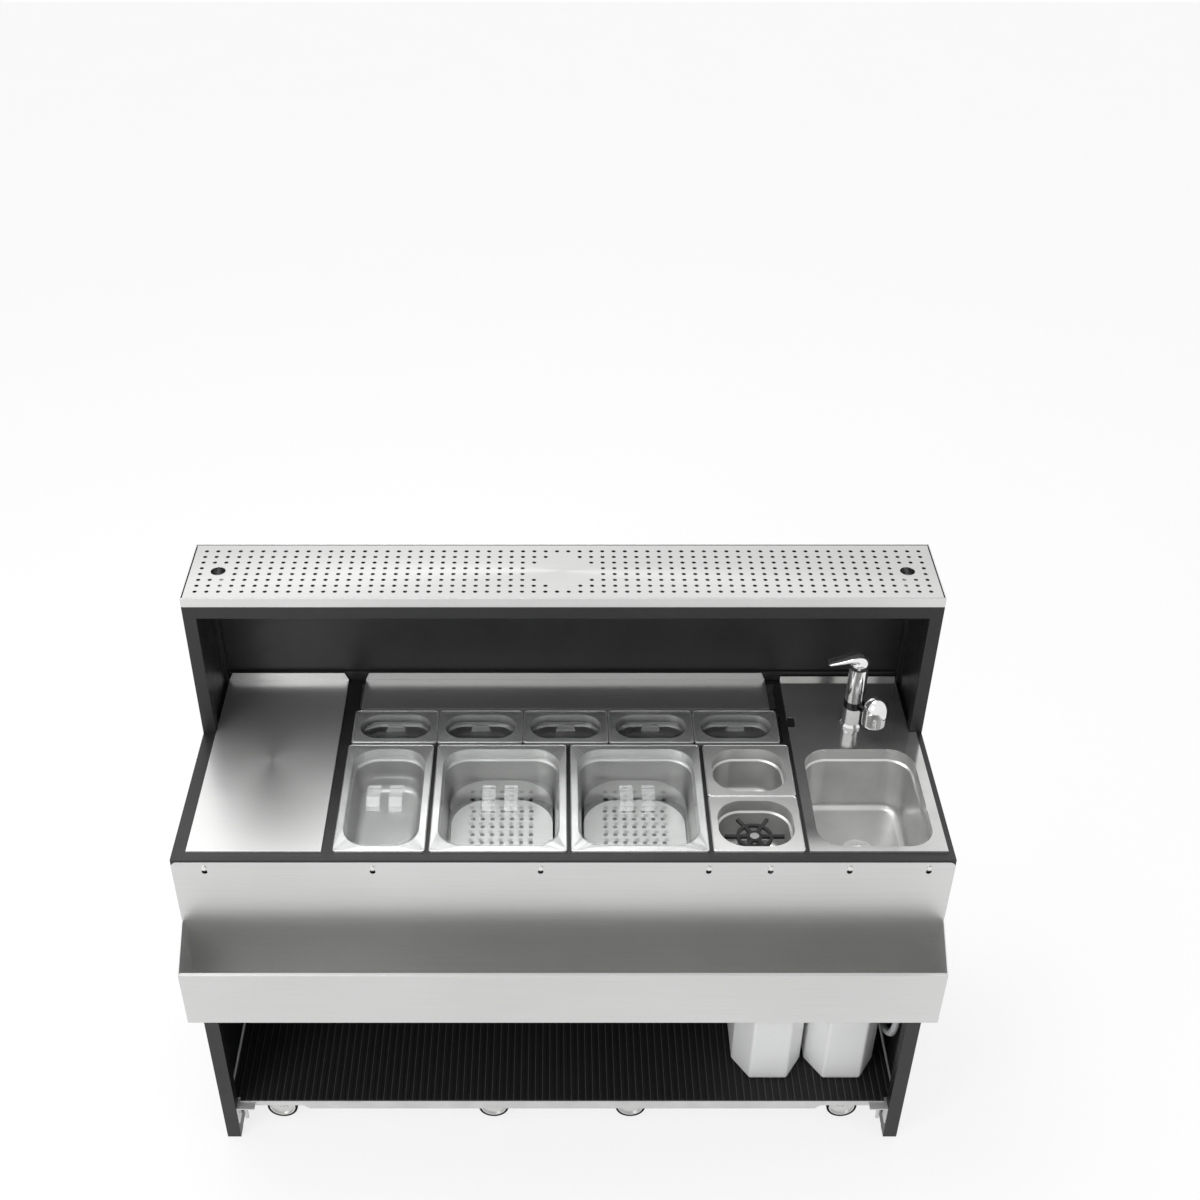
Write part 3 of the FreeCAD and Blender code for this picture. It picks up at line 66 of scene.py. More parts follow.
def add_camera():
    data = bpy.data.cameras.new("camera")
    data.lens = CAMERA_LENS
    data.sensor_width = CAMERA_SENSOR
    data.shift_x, data.shift_y = CAMERA_SHIFT
    camera = bpy.data.objects.new("camera", data)
    camera.location = CAMERA_PLACE
    camera.rotation_euler = (CAMERA_PITCH, 0, 0)
    scene.collection.objects.link(camera)
    scene.camera = camera


# Node helpers for the materials

# places of the colour sockets on a Mix node, which has several sockets of each name
COLOUR_A, COLOUR_B, COLOUR_RESULT = 6, 7, 2
# range in which most values of a noise texture lie
NOISE_LOW, NOISE_HIGH = 0.3, 0.7
EDGE_SAMPLES = 6


def grey(level):
    return (level, level, level)


def steel_grey(level):
    """A grey with slightly less blue."""
    return (level, level, 0.99 * level)


class Shader:
    """A material with a Principled shader and short calls for its texture nodes."""

    def __init__(self, name, **settings):
        self.material = bpy.data.materials.new(name)
        self.material.use_nodes = True
        self.tree = self.material.node_tree
        self.principled = self.tree.nodes["Principled BSDF"]
        self.output = self.tree.nodes["Material Output"]
        for key, value in settings.items():
            socket = key.replace("_", " ").title().replace("Ior", "IOR")
            self.principled.inputs[socket].default_value = value

    def node(self, kind, **values):
        made = self.tree.nodes.new(kind)
        for key, value in values.items():
            if hasattr(made, key):
                setattr(made, key, value)
            else:
                made.inputs[key].default_value = value
        return made

    def link(self, source, target):
        self.tree.links.new(source, target)

    def feed(self, target, value):
        """Links an output to the socket, or sets the socket to a number or a colour."""
        if isinstance(value, bpy.types.NodeSocket):
            self.link(value, target)
        else:
            target.default_value = value

    def calculate(self, operation, *values):
        """A calculation with outputs and numbers, named as the Math node names it."""
        made = self.node("ShaderNodeMath", operation=operation)
        for target, value in zip(made.inputs, values):
            self.feed(target, value)
        return made.outputs["Value"]

    def place(self, stretch=(1, 1, 1)):
        """Coordinates fixed to the object, in metres, stretched to draw grain out."""
        coordinates = self.node("ShaderNodeTexCoord")
        mapping = self.node("ShaderNodeMapping", Scale=stretch)
        self.link(coordinates.outputs["Object"], mapping.inputs["Vector"])
        return mapping.outputs["Vector"]

    def along(self, axis):
        """The object's own coordinate along one axis. Along Z it is the height above the floor at rest."""
        split = self.node("ShaderNodeSeparateXYZ")
        self.link(self.place(), split.inputs["Vector"])
        return split.outputs[axis]

    def noise(self, scale, detail, stretch=(1, 1, 1)):
        texture = self.node("ShaderNodeTexNoise", Scale=scale, Detail=detail)
        self.link(self.place(stretch), texture.inputs["Vector"])
        return texture.outputs["Fac"]

    def spread(self, value, low, high, start=NOISE_LOW, end=NOISE_HIGH):
        """Maps values from start to end onto the range from low to high."""
        mapped = self.node("ShaderNodeMapRange")
        for key, number in (("From Min", start), ("From Max", end), ("To Min", low), ("To Max", high)):
            mapped.inputs[key].default_value = number
        self.link(value, mapped.inputs["Value"])
        return mapped.outputs["Result"]

    def ramp(self, value, first, last, start=NOISE_LOW, end=NOISE_HIGH):
        """Goes over from the first colour to the last one between two values."""
        made = self.node("ShaderNodeValToRGB")
        for element, position, colour in zip(made.color_ramp.elements, (start, end), (first, last)):
            element.position = position
            element.color = (*colour, 1)
        self.link(value, made.inputs["Fac"])
        return made.outputs["Color"]

    def tint(self, value, first, last, start=NOISE_LOW, end=NOISE_HIGH):
        self.link(self.ramp(value, first, last, start, end), self.principled.inputs["Base Color"])

    def darken(self, share, shade):
        """Multiplies the colour so far by a shade, by the share given."""
        colour = self.principled.inputs["Base Color"]
        blend = self.node("ShaderNodeMix", data_type="RGBA", blend_type="MULTIPLY")
        self.feed(blend.inputs["Factor"], share)
        self.link(colour.links[0].from_socket, blend.inputs[COLOUR_A])
        self.feed(blend.inputs[COLOUR_B], shade)
        self.link(blend.outputs[COLOUR_RESULT], colour)

    def dull_below(self, start, end, factor):
        """Multiplies the colour by the factor below one level, easing off up to another."""
        self.darken(self.spread(self.along("Z"), 1.0, 0.0, start, end), (*grey(factor), 1))

    def rough(self, value, low, high):
        self.link(self.spread(value, low, high), self.principled.inputs["Roughness"])

    def blend_roughness(self, start, end, above):
        """Goes over from the roughness so far to another one between two levels."""
        roughness = self.principled.inputs["Roughness"]
        blend = self.node("ShaderNodeMix")
        self.link(self.spread(self.along("Z"), 0.0, 1.0, start, end), blend.inputs["Factor"])
        self.link(roughness.links[0].from_socket, blend.inputs["A"])
        self.link(above, blend.inputs["B"])
        self.link(blend.outputs["Result"], roughness)

    def relief(self, value, depth, edge=None):
        """A bump of the given depth, on edges rounded to the given radius so that they catch the light."""
        bump = self.node("ShaderNodeBump", Strength=1.0, Distance=depth)
        self.link(value, bump.inputs["Height"])
        if edge:
            rounded = self.node("ShaderNodeBevel", samples=EDGE_SAMPLES, Radius=edge)
            self.link(rounded.outputs["Normal"], bump.inputs["Normal"])
        self.link(bump.outputs["Normal"], self.principled.inputs["Normal"])

    def cover(self, share, other):
        """Lays another shader over this one, by the share given."""
        mix = self.node("ShaderNodeMixShader")
        self.link(share, mix.inputs["Fac"])
        self.link(self.principled.outputs["BSDF"], mix.inputs[1])
        self.link(other, mix.inputs[2])
        self.link(mix.outputs["Shader"], self.output.inputs["Surface"])


# Painted and rubber materials

MAT_PITCH = 16 * MM
MAT_FIRST_RIB = -732.5 * MM


def black_paint():
    shader = Shader("satin_black_paint", metallic=0.0, specular_ior_level=0.5)
    shader.tint(shader.noise(scale=6, detail=4), (0.008, 0.008, 0.009), (0.014, 0.014, 0.015))
    shader.rough(shader.noise(scale=40, detail=5), low=0.36, high=0.46)
    shader.relief(shader.noise(scale=1400, detail=2), depth=0.02 * MM, edge=1.2 * MM)
    return shader.material


def grey_paint():
    shader = Shader("pale_grey_sheet", metallic=0.3)
    shader.tint(shader.noise(scale=18, detail=4), grey(0.58), grey(0.67))
    shader.rough(shader.noise(scale=200, detail=3), low=0.32, high=0.44)
    shader.relief(shader.noise(scale=800, detail=2), depth=0.02 * MM, edge=0.8 * MM)
    return shader.material


def finish_rubber(shader):
    shader.rough(shader.noise(scale=300, detail=3), low=0.6, high=0.8)
    shader.relief(shader.noise(scale=1500, detail=3), depth=0.04 * MM, edge=0.6 * MM)
    return shader.material


def mat_rubber():
    """Black rubber with ribs, with a painted highlight in grey along one edge of each rib."""
    shader = Shader("ribbed_rubber", specular_ior_level=0.4)
    from_first = shader.calculate("SUBTRACT", shader.along("X"), MAT_FIRST_RIB)
    across_rib = shader.calculate("WRAP", shader.calculate("DIVIDE", from_first, MAT_PITCH), 1.0, 0.0)
    # painted highlight: grey along the first edge of each rib, black over the rest
    shader.tint(across_rib, (0.075, 0.075, 0.077), (0.009, 0.009, 0.010), start=0.06, end=0.11)
    return finish_rubber(shader)


def tyre_rubber():
    shader = Shader("tyre_rubber", specular_ior_level=0.08)
    shader.tint(shader.noise(scale=60, detail=4), (0.006, 0.006, 0.007), (0.014, 0.014, 0.015))
    return finish_rubber(shader)


# Steel materials

STEEL = (0.74, 0.74, 0.735)
RAIL_STEEL = (0.72, 0.72, 0.715)
DRIP_PLATE_STEEL = (0.58, 0.58, 0.575)
# stretch of the noise that draws the grain out along the bar
STEEL_GRAIN = (5, 2600, 2600)
STREAK_SHARE = 0.6
CLOUD_SHARE = 0.4
# between these two levels the worn flat of the bottle deck, rougher and darkened with painted shade, goes
# over to its upstand
RIM_LEVEL = 850 * MM
FLAT_END = RIM_LEVEL + 0.5 * MM
UPSTAND_START = RIM_LEVEL + 2 * MM
# below the first of these levels is the sink's bowl, and above the second its deck
BOWL_END = RIM_LEVEL - 5 * MM
DECK_START = RIM_LEVEL - 2 * MM
# the inside of a pan is darkened with painted shade from this level down
BRIGHT_RIM = RIM_LEVEL - 3 * MM
PAN_SHADE_DEPTH = 30 * MM
NINTH_SHADE_DEPTH = 20 * MM
# below the drain plate the half pans' floors get painted shade, over this edge and by this factor
DRAIN_PLATE_LEVEL = 723 * MM
UNDER_PLATE_SHADE_EDGE = 3 * MM
UNDER_PLATE_SHADE_FACTOR = 0.1
# faces of the drip tray covered more closely than this get painted shade
TRAY_PAINTED_SHADE_DEPTH = 30 * MM
COVER_SAMPLES = 4


def brushed_steel(name, light, roughness, contrast=0.93, painted_shade_depth=None, flat_painted_shade=None):
    """Sheet steel whose fine grain runs along the bar.

    With a depth for the shade, faces that another sheet covers more closely than that are darkened with
    painted shade.
    With a factor for the flat, the flat of a deck is darkened with painted shade below its upstand, and its
    worn finish is rougher.
    """
    shader = Shader(name, metallic=0.88, anisotropic=0.3)
    streaks = shader.noise(scale=1.0, detail=4, stretch=STEEL_GRAIN)
    clouds = shader.noise(scale=2.2, detail=3)
    streak_part = shader.spread(streaks, low=0.0, high=STREAK_SHARE)
    cloud_part = shader.spread(clouds, low=0.0, high=CLOUD_SHARE)
    mixed = shader.calculate("ADD", streak_part, cloud_part)
    dark = tuple(contrast * part for part in light)
    shader.tint(mixed, dark, light, start=0.0, end=1.0)
    # painted shade: darker where another sheet covers the face closely
    if painted_shade_depth:
        openness = shader.node("ShaderNodeAmbientOcclusion", samples=COVER_SAMPLES, Distance=painted_shade_depth)
        shade = shader.ramp(openness.outputs["AO"], grey(0.03), grey(1.0), start=0.35, end=0.6)
        shader.darken(1.0, shade)
    shader.rough(streaks, low=roughness - 0.03, high=roughness + 0.04)
    # painted shade on the flat of the deck, with a rougher worn finish
    if flat_painted_shade:
        shader.dull_below(FLAT_END, UPSTAND_START, flat_painted_shade)
        shader.blend_roughness(FLAT_END, UPSTAND_START, shader.spread(streaks, low=0.5, high=0.58))
    shader.relief(streaks, depth=0.003 * MM, edge=0.8 * MM)
    return shader.material


def drawn_steel(name="drawn_steel", dark=0.74, light=0.82, roughness=0.36, deck_roughness=None, depth=None,
                inside_painted_shade=0.68, shaded_below=None):
    """Deep-drawn steel. On the sink the flat deck is smoother than the bowl.

    With a depth, the steel is darkened with painted shade from the rim down to that depth, inside the pan.
    Below the level given, the floor under a drain plate is darkened with painted shade.
    """
    shader = Shader(name, metallic=0.85)
    shader.tint(shader.noise(scale=18, detail=3), steel_grey(dark), steel_grey(light))
    # painted shade inside the pan, darker towards its floor
    if depth:
        shader.dull_below(RIM_LEVEL - depth, BRIGHT_RIM, inside_painted_shade)
    # painted shade on the floor under the drain plate
    if shaded_below:
        shader.dull_below(shaded_below - UNDER_PLATE_SHADE_EDGE, shaded_below, UNDER_PLATE_SHADE_FACTOR)
    shader.rough(shader.noise(scale=14, detail=2), low=roughness - 0.02, high=roughness + 0.03)
    if deck_roughness:
        patches = shader.noise(scale=9, detail=2)
        deck = shader.spread(patches, low=deck_roughness - 0.02, high=deck_roughness + 0.03)
        shader.blend_roughness(BOWL_END, DECK_START, deck)
    shader.relief(shader.noise(scale=90, detail=3), depth=0.02 * MM)
    return shader.material


def chrome(name="polished_chrome", dark=0.78, light=0.88):
    shader = Shader(name, metallic=0.95)
    shader.tint(shader.noise(scale=30, detail=2), grey(dark), grey(light))
    shader.rough(shader.noise(scale=12, detail=2), low=0.06, high=0.11)
    return shader.material


def turned_disc():
    shader = Shader("turned_disc", metallic=0.8)
    shader.tint(shader.noise(scale=30, detail=4), (0.62, 0.62, 0.61), (0.74, 0.74, 0.73))
    shader.rough(shader.noise(scale=220, detail=3), low=0.28, high=0.42)
    shader.relief(shader.noise(scale=600, detail=2), depth=0.02 * MM, edge=0.8 * MM)
    return shader.material


# Plastic materials

CLEAR_COLOUR = (0.98, 0.985, 0.985)
# share of a clear sheet that is seen straight through, face on and at its edges
CLEAR_FACE = 0.95
CLEAR_EDGE = 0.3
# share of that which is left in the handles of a lid, and how far light passes into them
CLEAR_HANDLE = 0.3
HANDLE_CLARITY = 0.88
# the handles stand above this level, within these shares of the lid to each side of its middle
HANDLE_FOOT = 836.6 * MM
HANDLE_REACH = {"X": 0.3, "Y": 0.2}
LID_MIDDLE = 0.5


def handle_share(shader):
    """One on the handles in the middle of a lid, above the floor of its recess, and zero elsewhere."""
    coordinates = shader.node("ShaderNodeTexCoord")
    share = shader.node("ShaderNodeSeparateXYZ")
    shader.link(coordinates.outputs["Generated"], share.inputs["Vector"])
    found = shader.calculate("GREATER_THAN", shader.along("Z"), HANDLE_FOOT)
    for axis, reach in HANDLE_REACH.items():
        in_middle = shader.calculate("COMPARE", share.outputs[axis], LID_MIDDLE, reach)
        found = shader.calculate("MULTIPLY", found, in_middle)
    return found


def clear_plastic():
    """Thin clear sheet: mostly seen through, with the gloss of its faces and edges on top."""
    shader = Shader("clear_polycarbonate", transmission_weight=1.0, ior=1.45)
    shader.tint(shader.noise(scale=12, detail=2), (0.94, 0.95, 0.95), CLEAR_COLOUR)
    shader.rough(shader.noise(scale=20, detail=2), low=0.02, high=0.05)
    handle = handle_share(shader)
    clarity = shader.spread(handle, 1.0, HANDLE_CLARITY, start=0.0, end=1.0)
    shader.link(clarity, shader.principled.inputs["Transmission Weight"])
    clear = shader.node("ShaderNodeBsdfTransparent", Color=(*CLEAR_COLOUR, 1))
    facing = shader.node("ShaderNodeLayerWeight", Blend=0.25)
    path = shader.node("ShaderNodeLightPath")
    sheet = shader.spread(facing.outputs["Facing"], CLEAR_FACE, CLEAR_EDGE, start=0.0, end=0.8)
    left = shader.spread(handle, 1.0, CLEAR_HANDLE, start=0.0, end=1.0)
    seen = shader.calculate("MULTIPLY", sheet, left)
    lit = shader.calculate("MAXIMUM", path.outputs["Is Shadow Ray"], seen)
    shader.cover(lit, clear.outputs["BSDF"])
    return shader.material


def plastic(name, dark, light, roughness):
    shader = Shader(name, specular_ior_level=0.5)
    shader.tint(shader.noise(scale=14, detail=3), dark, light)
    shader.rough(shader.noise(scale=120, detail=3), low=roughness - 0.05, high=roughness + 0.07)
    shader.relief(shader.noise(scale=900, detail=2), depth=0.03 * MM, edge=0.6 * MM)
    return shader.material


def white_can_plastic():
    shader = Shader("white_polyethylene", subsurface_weight=0.35, subsurface_scale=20 * MM,
                    subsurface_radius=(1.0, 1.0, 0.95))
    shader.tint(shader.noise(scale=9, detail=3), (0.92, 0.93, 0.92), (0.96, 0.97, 0.96))
    shader.rough(shader.noise(scale=90, detail=3), low=0.36, high=0.48)
    shader.relief(shader.noise(scale=700, detail=2), depth=0.04 * MM, edge=4 * MM)
    return shader.material


def slot_looks():
    """The material of each slot in the record."""
    return {
        "satin_black": black_paint(),
        "stainless": brushed_steel("brushed_sheet", STEEL, roughness=0.33),
        "pan_steel": drawn_steel("pan_steel", depth=PAN_SHADE_DEPTH),
        "chrome": chrome(),
        "clear_plastic": clear_plastic(),
        "black_plastic": plastic("black_plastic", grey(0.008), grey(0.016), roughness=0.35),
        "black_rubber": mat_rubber(),
        "tyre_rubber": tyre_rubber(),
        "grey_metal": grey_paint(),
        "wheel_metal": turned_disc(),
        "zinc": drawn_steel(),
        "white_plastic": white_can_plastic(),
        "cap_plastic": plastic("cap_plastic", (0.68, 0.68, 0.67), (0.75, 0.75, 0.74), roughness=0.4),
        "hose_plastic": plastic("hose_plastic", (0.42, 0.43, 0.44), (0.52, 0.53, 0.54), roughness=0.3),
    }


def node_looks():
    """The materials of the nodes that look different from others in their slot."""
    drain_plate = drawn_steel("drain_plate_steel", dark=0.80, light=0.88, roughness=0.4)
    bright = drawn_steel("bright_steel", dark=0.82, light=0.9, roughness=0.25)
    # the half pans get painted shade inside and under their drain plates
    half_pan = drawn_steel("half_pan_steel", depth=PAN_SHADE_DEPTH, shaded_below=DRAIN_PLATE_LEVEL)
    # the ninth pans get stronger painted shade inside
    ninth_pan = drawn_steel("ninth_pan_steel", depth=NINTH_SHADE_DEPTH, inside_painted_shade=0.3)
    return {
        # the flat of the bottle deck gets painted shade below its upstand
        "bottle_deck": brushed_steel("smooth_sheet", STEEL, roughness=0.3, flat_painted_shade=0.75),
        "speed_rail": brushed_steel("rail_sheet", RAIL_STEEL, roughness=0.36, contrast=0.8),
        "drip_plate": brushed_steel("satin_sheet", DRIP_PLATE_STEEL, roughness=0.42),
        # the drip tray gets painted shade where the drip plate covers it closely
        "drip_tray": brushed_steel("tray_sheet", STEEL, roughness=0.35, painted_shade_depth=TRAY_PAINTED_SHADE_DEPTH),
        "sink_unit": drawn_steel("sink_steel", dark=0.56, light=0.64, roughness=0.32, deck_roughness=0.13),
        "drain_plate_left": drain_plate,
        "drain_plate_right": drain_plate,
        "sink_drain": bright,
        "rinser_base": bright,
        "half_pan_left": half_pan,
        "half_pan_right": half_pan,
        **{f"ninth_pan_{i + 1}": ninth_pan for i in range(NINTH_COUNT)},
    }


def dress(looks):
    """Gives every CAD node its material."""
    own_looks = node_looks()
    for entry in frame["record"]["subparts"]:
        data = nodes[entry["node"]].data
        data.materials.clear()
        data.materials.append(own_looks.get(entry["node"], looks[entry["material_slot"]]))


# Mesh helpers for the pieces that replace plain CAD shapes

MERGE_DISTANCE = 0.001 * MM


def smooth_line(points, steps=6):
    """A soft curve through the points, each a tuple of numbers."""
    padded = [points[0], *points, points[-1]]
    line = []
    for before, start, end, after in zip(padded, padded[1:], padded[2:], padded[3:]):
        for step in range(steps):
            share = step / steps
            line.append(tuple(
                0.5 * (2 * b + (c - a) * share + (2 * a - 5 * b + 4 * c - d) * share ** 2
                       + (3 * b - a - 3 * c + d) * share ** 3)
                for a, b, c, d in zip(before, start, end, after)))
    line.append(points[-1])
    return line


def add_piece(name, verts, faces, material, body, smooth=True):
    mesh = bpy.data.meshes.new(name)
    mesh.from_pydata([tuple(vert) for vert in verts], [], faces)
    shape = bmesh.new()
    shape.from_mesh(mesh)
    bmesh.ops.remove_doubles(shape, verts=shape.verts, dist=MERGE_DISTANCE)
    bmesh.ops.recalc_face_normals(shape, faces=shape.faces)
    shape.to_mesh(mesh)
    shape.free()
    mesh.polygons.foreach_set("use_smooth", [smooth] * len(mesh.polygons))
    mesh.materials.append(material)
    piece = bpy.data.objects.new(name, mesh)
    scene.collection.objects.link(piece)
    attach(piece, body)
    return piece


def skin(rings, closed=False):
    """Vertices and faces of a tube through rings of equal count, with flat ends unless closed."""
    count = len(rings[0])
    verts = [vert for ring in rings for vert in ring]
    faces = []
    pairs = list(zip(range(len(rings)), range(1, len(rings))))
    if closed:
        pairs.append((len(rings) - 1, 0))
    for low, high in pairs:
        for i in range(count):
            j = (i + 1) % count
            faces.append((low * count + i, low * count + j, high * count + j, high * count + i))
    if not closed:
        faces.append(tuple(reversed(range(count))))
        faces.append(tuple(range((len(rings) - 1) * count, len(rings) * count)))
    return verts, faces


def circle_turns(count):
    return [2 * math.pi * i / count for i in range(count)]


def lathe(profile, centre, closed=False, segments=64):
    """A profile of radius and height turned about an upright axis, all in metres."""
    turns = circle_turns(segments)
    rings = [[centre + Vector((radius * math.cos(turn), radius * math.sin(turn), height)) for turn in turns]
             for radius, height in profile]
    return skin(rings, closed)


def oval(centre, across, along, half_width, half_height, count=40):
    """A ring in the plane of two directions."""
    return [centre + across * (half_width * math.cos(turn)) + along * (half_height * math.sin(turn))
            for turn in circle_turns(count)]


def middle_of(name):
    low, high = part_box(name)
    return (low + high) / 2


# Rolled edges: the round edge of each pan's rim, in paler steel that adds a painted highlight to its gloss

RIM_CORNER = 7 * MM
EDGE_INSET = 1.0 * MM
EDGE_SINK = 0.3 * MM
EDGE_RADIUS = 0.9 * MM
EDGE_SIDES = 12
CORNER_STEPS = 6


def add_rolled_edge(pan, body, material):
    low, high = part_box(pan)
    inner_low, inner_high = low + Vector((RIM_CORNER,) * 3), high - Vector((RIM_CORNER,) * 3)
    corners = ((inner_high.x, inner_high.y), (inner_low.x, inner_high.y), (inner_low.x, inner_low.y),
               (inner_high.x, inner_low.y))
    rings = []
    for quarter, (x, y) in enumerate(corners):
        middle = Vector((x, y, high.z - EDGE_SINK))
        for step in range(CORNER_STEPS + 1):
            turn = math.radians(90 * (quarter + step / CORNER_STEPS))
            out = Vector((math.cos(turn), math.sin(turn), 0))
            centre = middle + out * (RIM_CORNER - EDGE_INSET)
            rings.append(oval(centre, out, UP, EDGE_RADIUS, EDGE_RADIUS, EDGE_SIDES))
    verts, faces = skin(rings, closed=True)
    add_piece(pan + "_rolled_edge", verts, faces, material, body)


# Tyres with full round shoulders, two on each wheelset

TYRE_WIDTH = 14 * MM
TYRE_LIP_DEPTH = 5.4 * MM
TYRE_SEAT_DEPTH = 3.9 * MM
TYRE_LIP_GAP = 0.05 * MM
TYRE_SEGMENTS = 72
# depth under the tread and distance beyond the wheel's side, from the lip up over the shoulder
TYRE_SHOULDER = ((TYRE_LIP_DEPTH, 0.3 * MM), (2.6 * MM, 0.9 * MM), (0.9 * MM, 0.4 * MM),
                 (0.1 * MM, -1.2 * MM))


def tyre_section(radius):
    """Outline of the tyre's rubber: distance from the axle and distance from the tyre's middle."""
    half = TYRE_WIDTH / 2
    side = half + TYRE_LIP_GAP
    lip, seat = radius - TYRE_LIP_DEPTH, radius - TYRE_SEAT_DEPTH
    shoulder = [(radius - depth, half + beyond) for depth, beyond in TYRE_SHOULDER]
    other_shoulder = [(around, -across) for around, across in reversed(shoulder)]
    return [*shoulder, (radius, 0.0), *other_shoulder, (lip, -side), (seat, -side), (seat, side), (lip, side)]


def add_tyres(name, body, material):
    low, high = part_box(name)
    middle = middle_of(name)
    section = tyre_section((high.x - low.x) / 2)
    verts, faces = [], []
    for y in (low.y + TYRE_WIDTH / 2, high.y - TYRE_WIDTH / 2):
        centre = Vector((middle.x, y, middle.z))
        rings = [[centre + Vector((around * math.cos(turn), across, around * math.sin(turn)))
                  for around, across in section] for turn in circle_turns(TYRE_SEGMENTS)]
        ring_verts, ring_faces = skin(rings, closed=True)
        faces += [tuple(index + len(verts) for index in face) for face in ring_faces]
        verts += ring_verts
    piece = add_piece(name + "_rounded", verts, faces, material, body)
    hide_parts(name)


# Drain hose, on the same points as the CAD route

HOSE_RADIUS = 8 * MM
HOSE_BESIDE_CAN = 18 * MM
# steps in millimetres from the drain's lower end
FROM_DRAIN = ((0, 0, 0), (0, 0, -56), (44, -46, -108), (84, -86, -166))
# steps in millimetres from the can's right front edge, with heights above the floor
BESIDE_CAN = ((-6, -10, 405), (0, -18, 330), (1, 0, 250), (0, 64, 195), (0, 140, 196), (0, 198, 250),
              (0, 205, 345))
# steps in millimetres from the top of the can's cap
INTO_CAN = ((95.5, 147, 66), (48, 73.5, 117), (0, 0, 66), (0, 0, 0))


def hose_route():
    drain, cap = middle_of("sink_drain"), middle_of("right_can_cap")
    top = Vector((drain.x, drain.y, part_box("sink_drain")[0].z))
    end = Vector((cap.x, cap.y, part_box("right_can_cap")[1].z))
    can_low, can_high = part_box("right_can")
    beside = Vector((can_high.x + HOSE_BESIDE_CAN, can_low.y, 0))
    return [start + Vector(step) * MM
            for start, steps in ((top, FROM_DRAIN), (beside, BESIDE_CAN), (end, INTO_CAN)) for step in steps]


def add_hose(material):
    route = hose_route()
    curve = bpy.data.curves.new("drain_hose_tube", "CURVE")
    curve.dimensions = "3D"
    curve.bevel_depth = HOSE_RADIUS
    curve.bevel_resolution = 8
    curve.resolution_u = 16
    curve.use_fill_caps = True
    spline = curve.splines.new("NURBS")
    spline.points.add(len(route) - 1)
    for point, place in zip(spline.points, route):
        point.co = (*place, 1)
    spline.order_u = 3
    spline.use_endpoint_u = True
    curve.materials.append(material)
    hose = bpy.data.objects.new("drain_hose_tube", curve)
    scene.collection.objects.link(hose)
    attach(hose, "frame")
    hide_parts("drain_hose")


# Mixer tap: the spout and the lever get their flowing shapes

SPOUT_TURN = math.radians(-57)
SPOUT_REACH = 63 * MM
SPOUT_RADIUS = 25 * MM
# shares of the head's radius and height, from the outlet over the rim to the top
SPOUT_DOME = ((0.45, 0.05), (0.47, 0.0), (0.88, 0.0), (0.97, 0.02), (1.0, 0.08), (1.0, 0.26), (1.0, 0.45),
              (0.962, 0.6), (0.871, 0.72), (0.74, 0.82), (0.575, 0.9), (0.37, 0.96), (0.19, 0.99),
              (0.01, 1.0))
# heights of the collar are above the spout's lower edge
COLLAR_FOOT = 6.5 * MM
COLLAR_TOP = 23.5 * MM
COLLAR_BORE = 15.2 * MM
COLLAR_RADIUS = 21 * MM
COLLAR_CHAMFER = 1 * MM
ARM_START = 17 * MM
ARM_END = SPOUT_REACH - 3 * MM
ARM_RISE = 9 * MM
ARM_SWELL = 0.45
ARM_HALF_WIDTH = 9.5 * MM
ARM_HALF_HEIGHT = 7.6 * MM
ARM_STATIONS = (0.0, 0.15, 0.35, 0.6, 0.8, 1.0)
LEVER_GAP = 4 * MM
# distance to the right in millimetres, share of the height, lean in radians, and half width and half
# thickness in millimetres
LEVER_STATIONS = (
    (0.0, 0.02, 0.0, 13.0, 13.0), (0.2, 0.16, 0.0, 19.0, 19.0), (0.6, 0.34, 0.05, 20.5, 20.0),
    (0.6, 0.52, 0.25, 20.0, 18.5), (-2.0, 0.68, 0.62, 19.0, 15.0), (-9.0, 0.74, 1.02, 17.5, 11.5),
    (-20.0, 0.68, 1.30, 16.0, 8.8), (-34.0, 0.53, 1.40, 14.5, 6.8), (-49.0, 0.38, 1.42, 13.0, 5.2),
    (-59.0, 0.29, 1.42, 11.5, 4.2), (-63.2, 0.25, 1.42, 8.5, 2.8))


def tap_axis():
    middle = middle_of("tap_column")
    return Vector((middle.x, middle.y, 0))


# the band material, near-black chrome on the collar and the arm, is painted dark reflection and shade
def add_spout(material, band_material):
    axis = tap_axis()
    low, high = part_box("tap_spout")
    reach = Vector((math.cos(SPOUT_TURN), math.sin(SPOUT_TURN), 0))
    across = UP.cross(reach)
    height = high.z - low.z
    dome = smooth_line([(SPOUT_RADIUS * radius, low.z + height * level) for radius, level in SPOUT_DOME])
    verts, faces = lathe(dome, axis + reach * SPOUT_REACH)
    head = add_piece("tap_spout_head", verts, faces, material, "tap_spout")

    foot, top = low.z + COLLAR_FOOT, low.z + COLLAR_TOP
    flat = COLLAR_RADIUS - COLLAR_CHAMFER
    section = [(COLLAR_BORE, foot), (flat, foot), (COLLAR_RADIUS, foot + COLLAR_CHAMFER),
               (COLLAR_RADIUS, top - COLLAR_CHAMFER), (flat, top), (COLLAR_BORE, top)]
    verts, faces = lathe(section, axis, closed=True)
    collar = add_piece("tap_spout_collar", verts, faces, band_material, "tap_spout", smooth=False)

    rings = []
    for share in ARM_STATIONS:
        out = ARM_START + share * (ARM_END - ARM_START)
        centre = axis + reach * out + UP * ((foot + top) / 2 + ARM_RISE * share ** 2)
        swell = 1 + ARM_SWELL * share ** 2
        rings.append(oval(centre, across, UP, ARM_HALF_WIDTH * swell, ARM_HALF_HEIGHT * swell))
    verts, faces = skin(rings)
    arm = add_piece("tap_spout_arm", verts, faces, band_material, "tap_spout")
    for piece in (head, collar, arm):
        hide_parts("tap_spout")


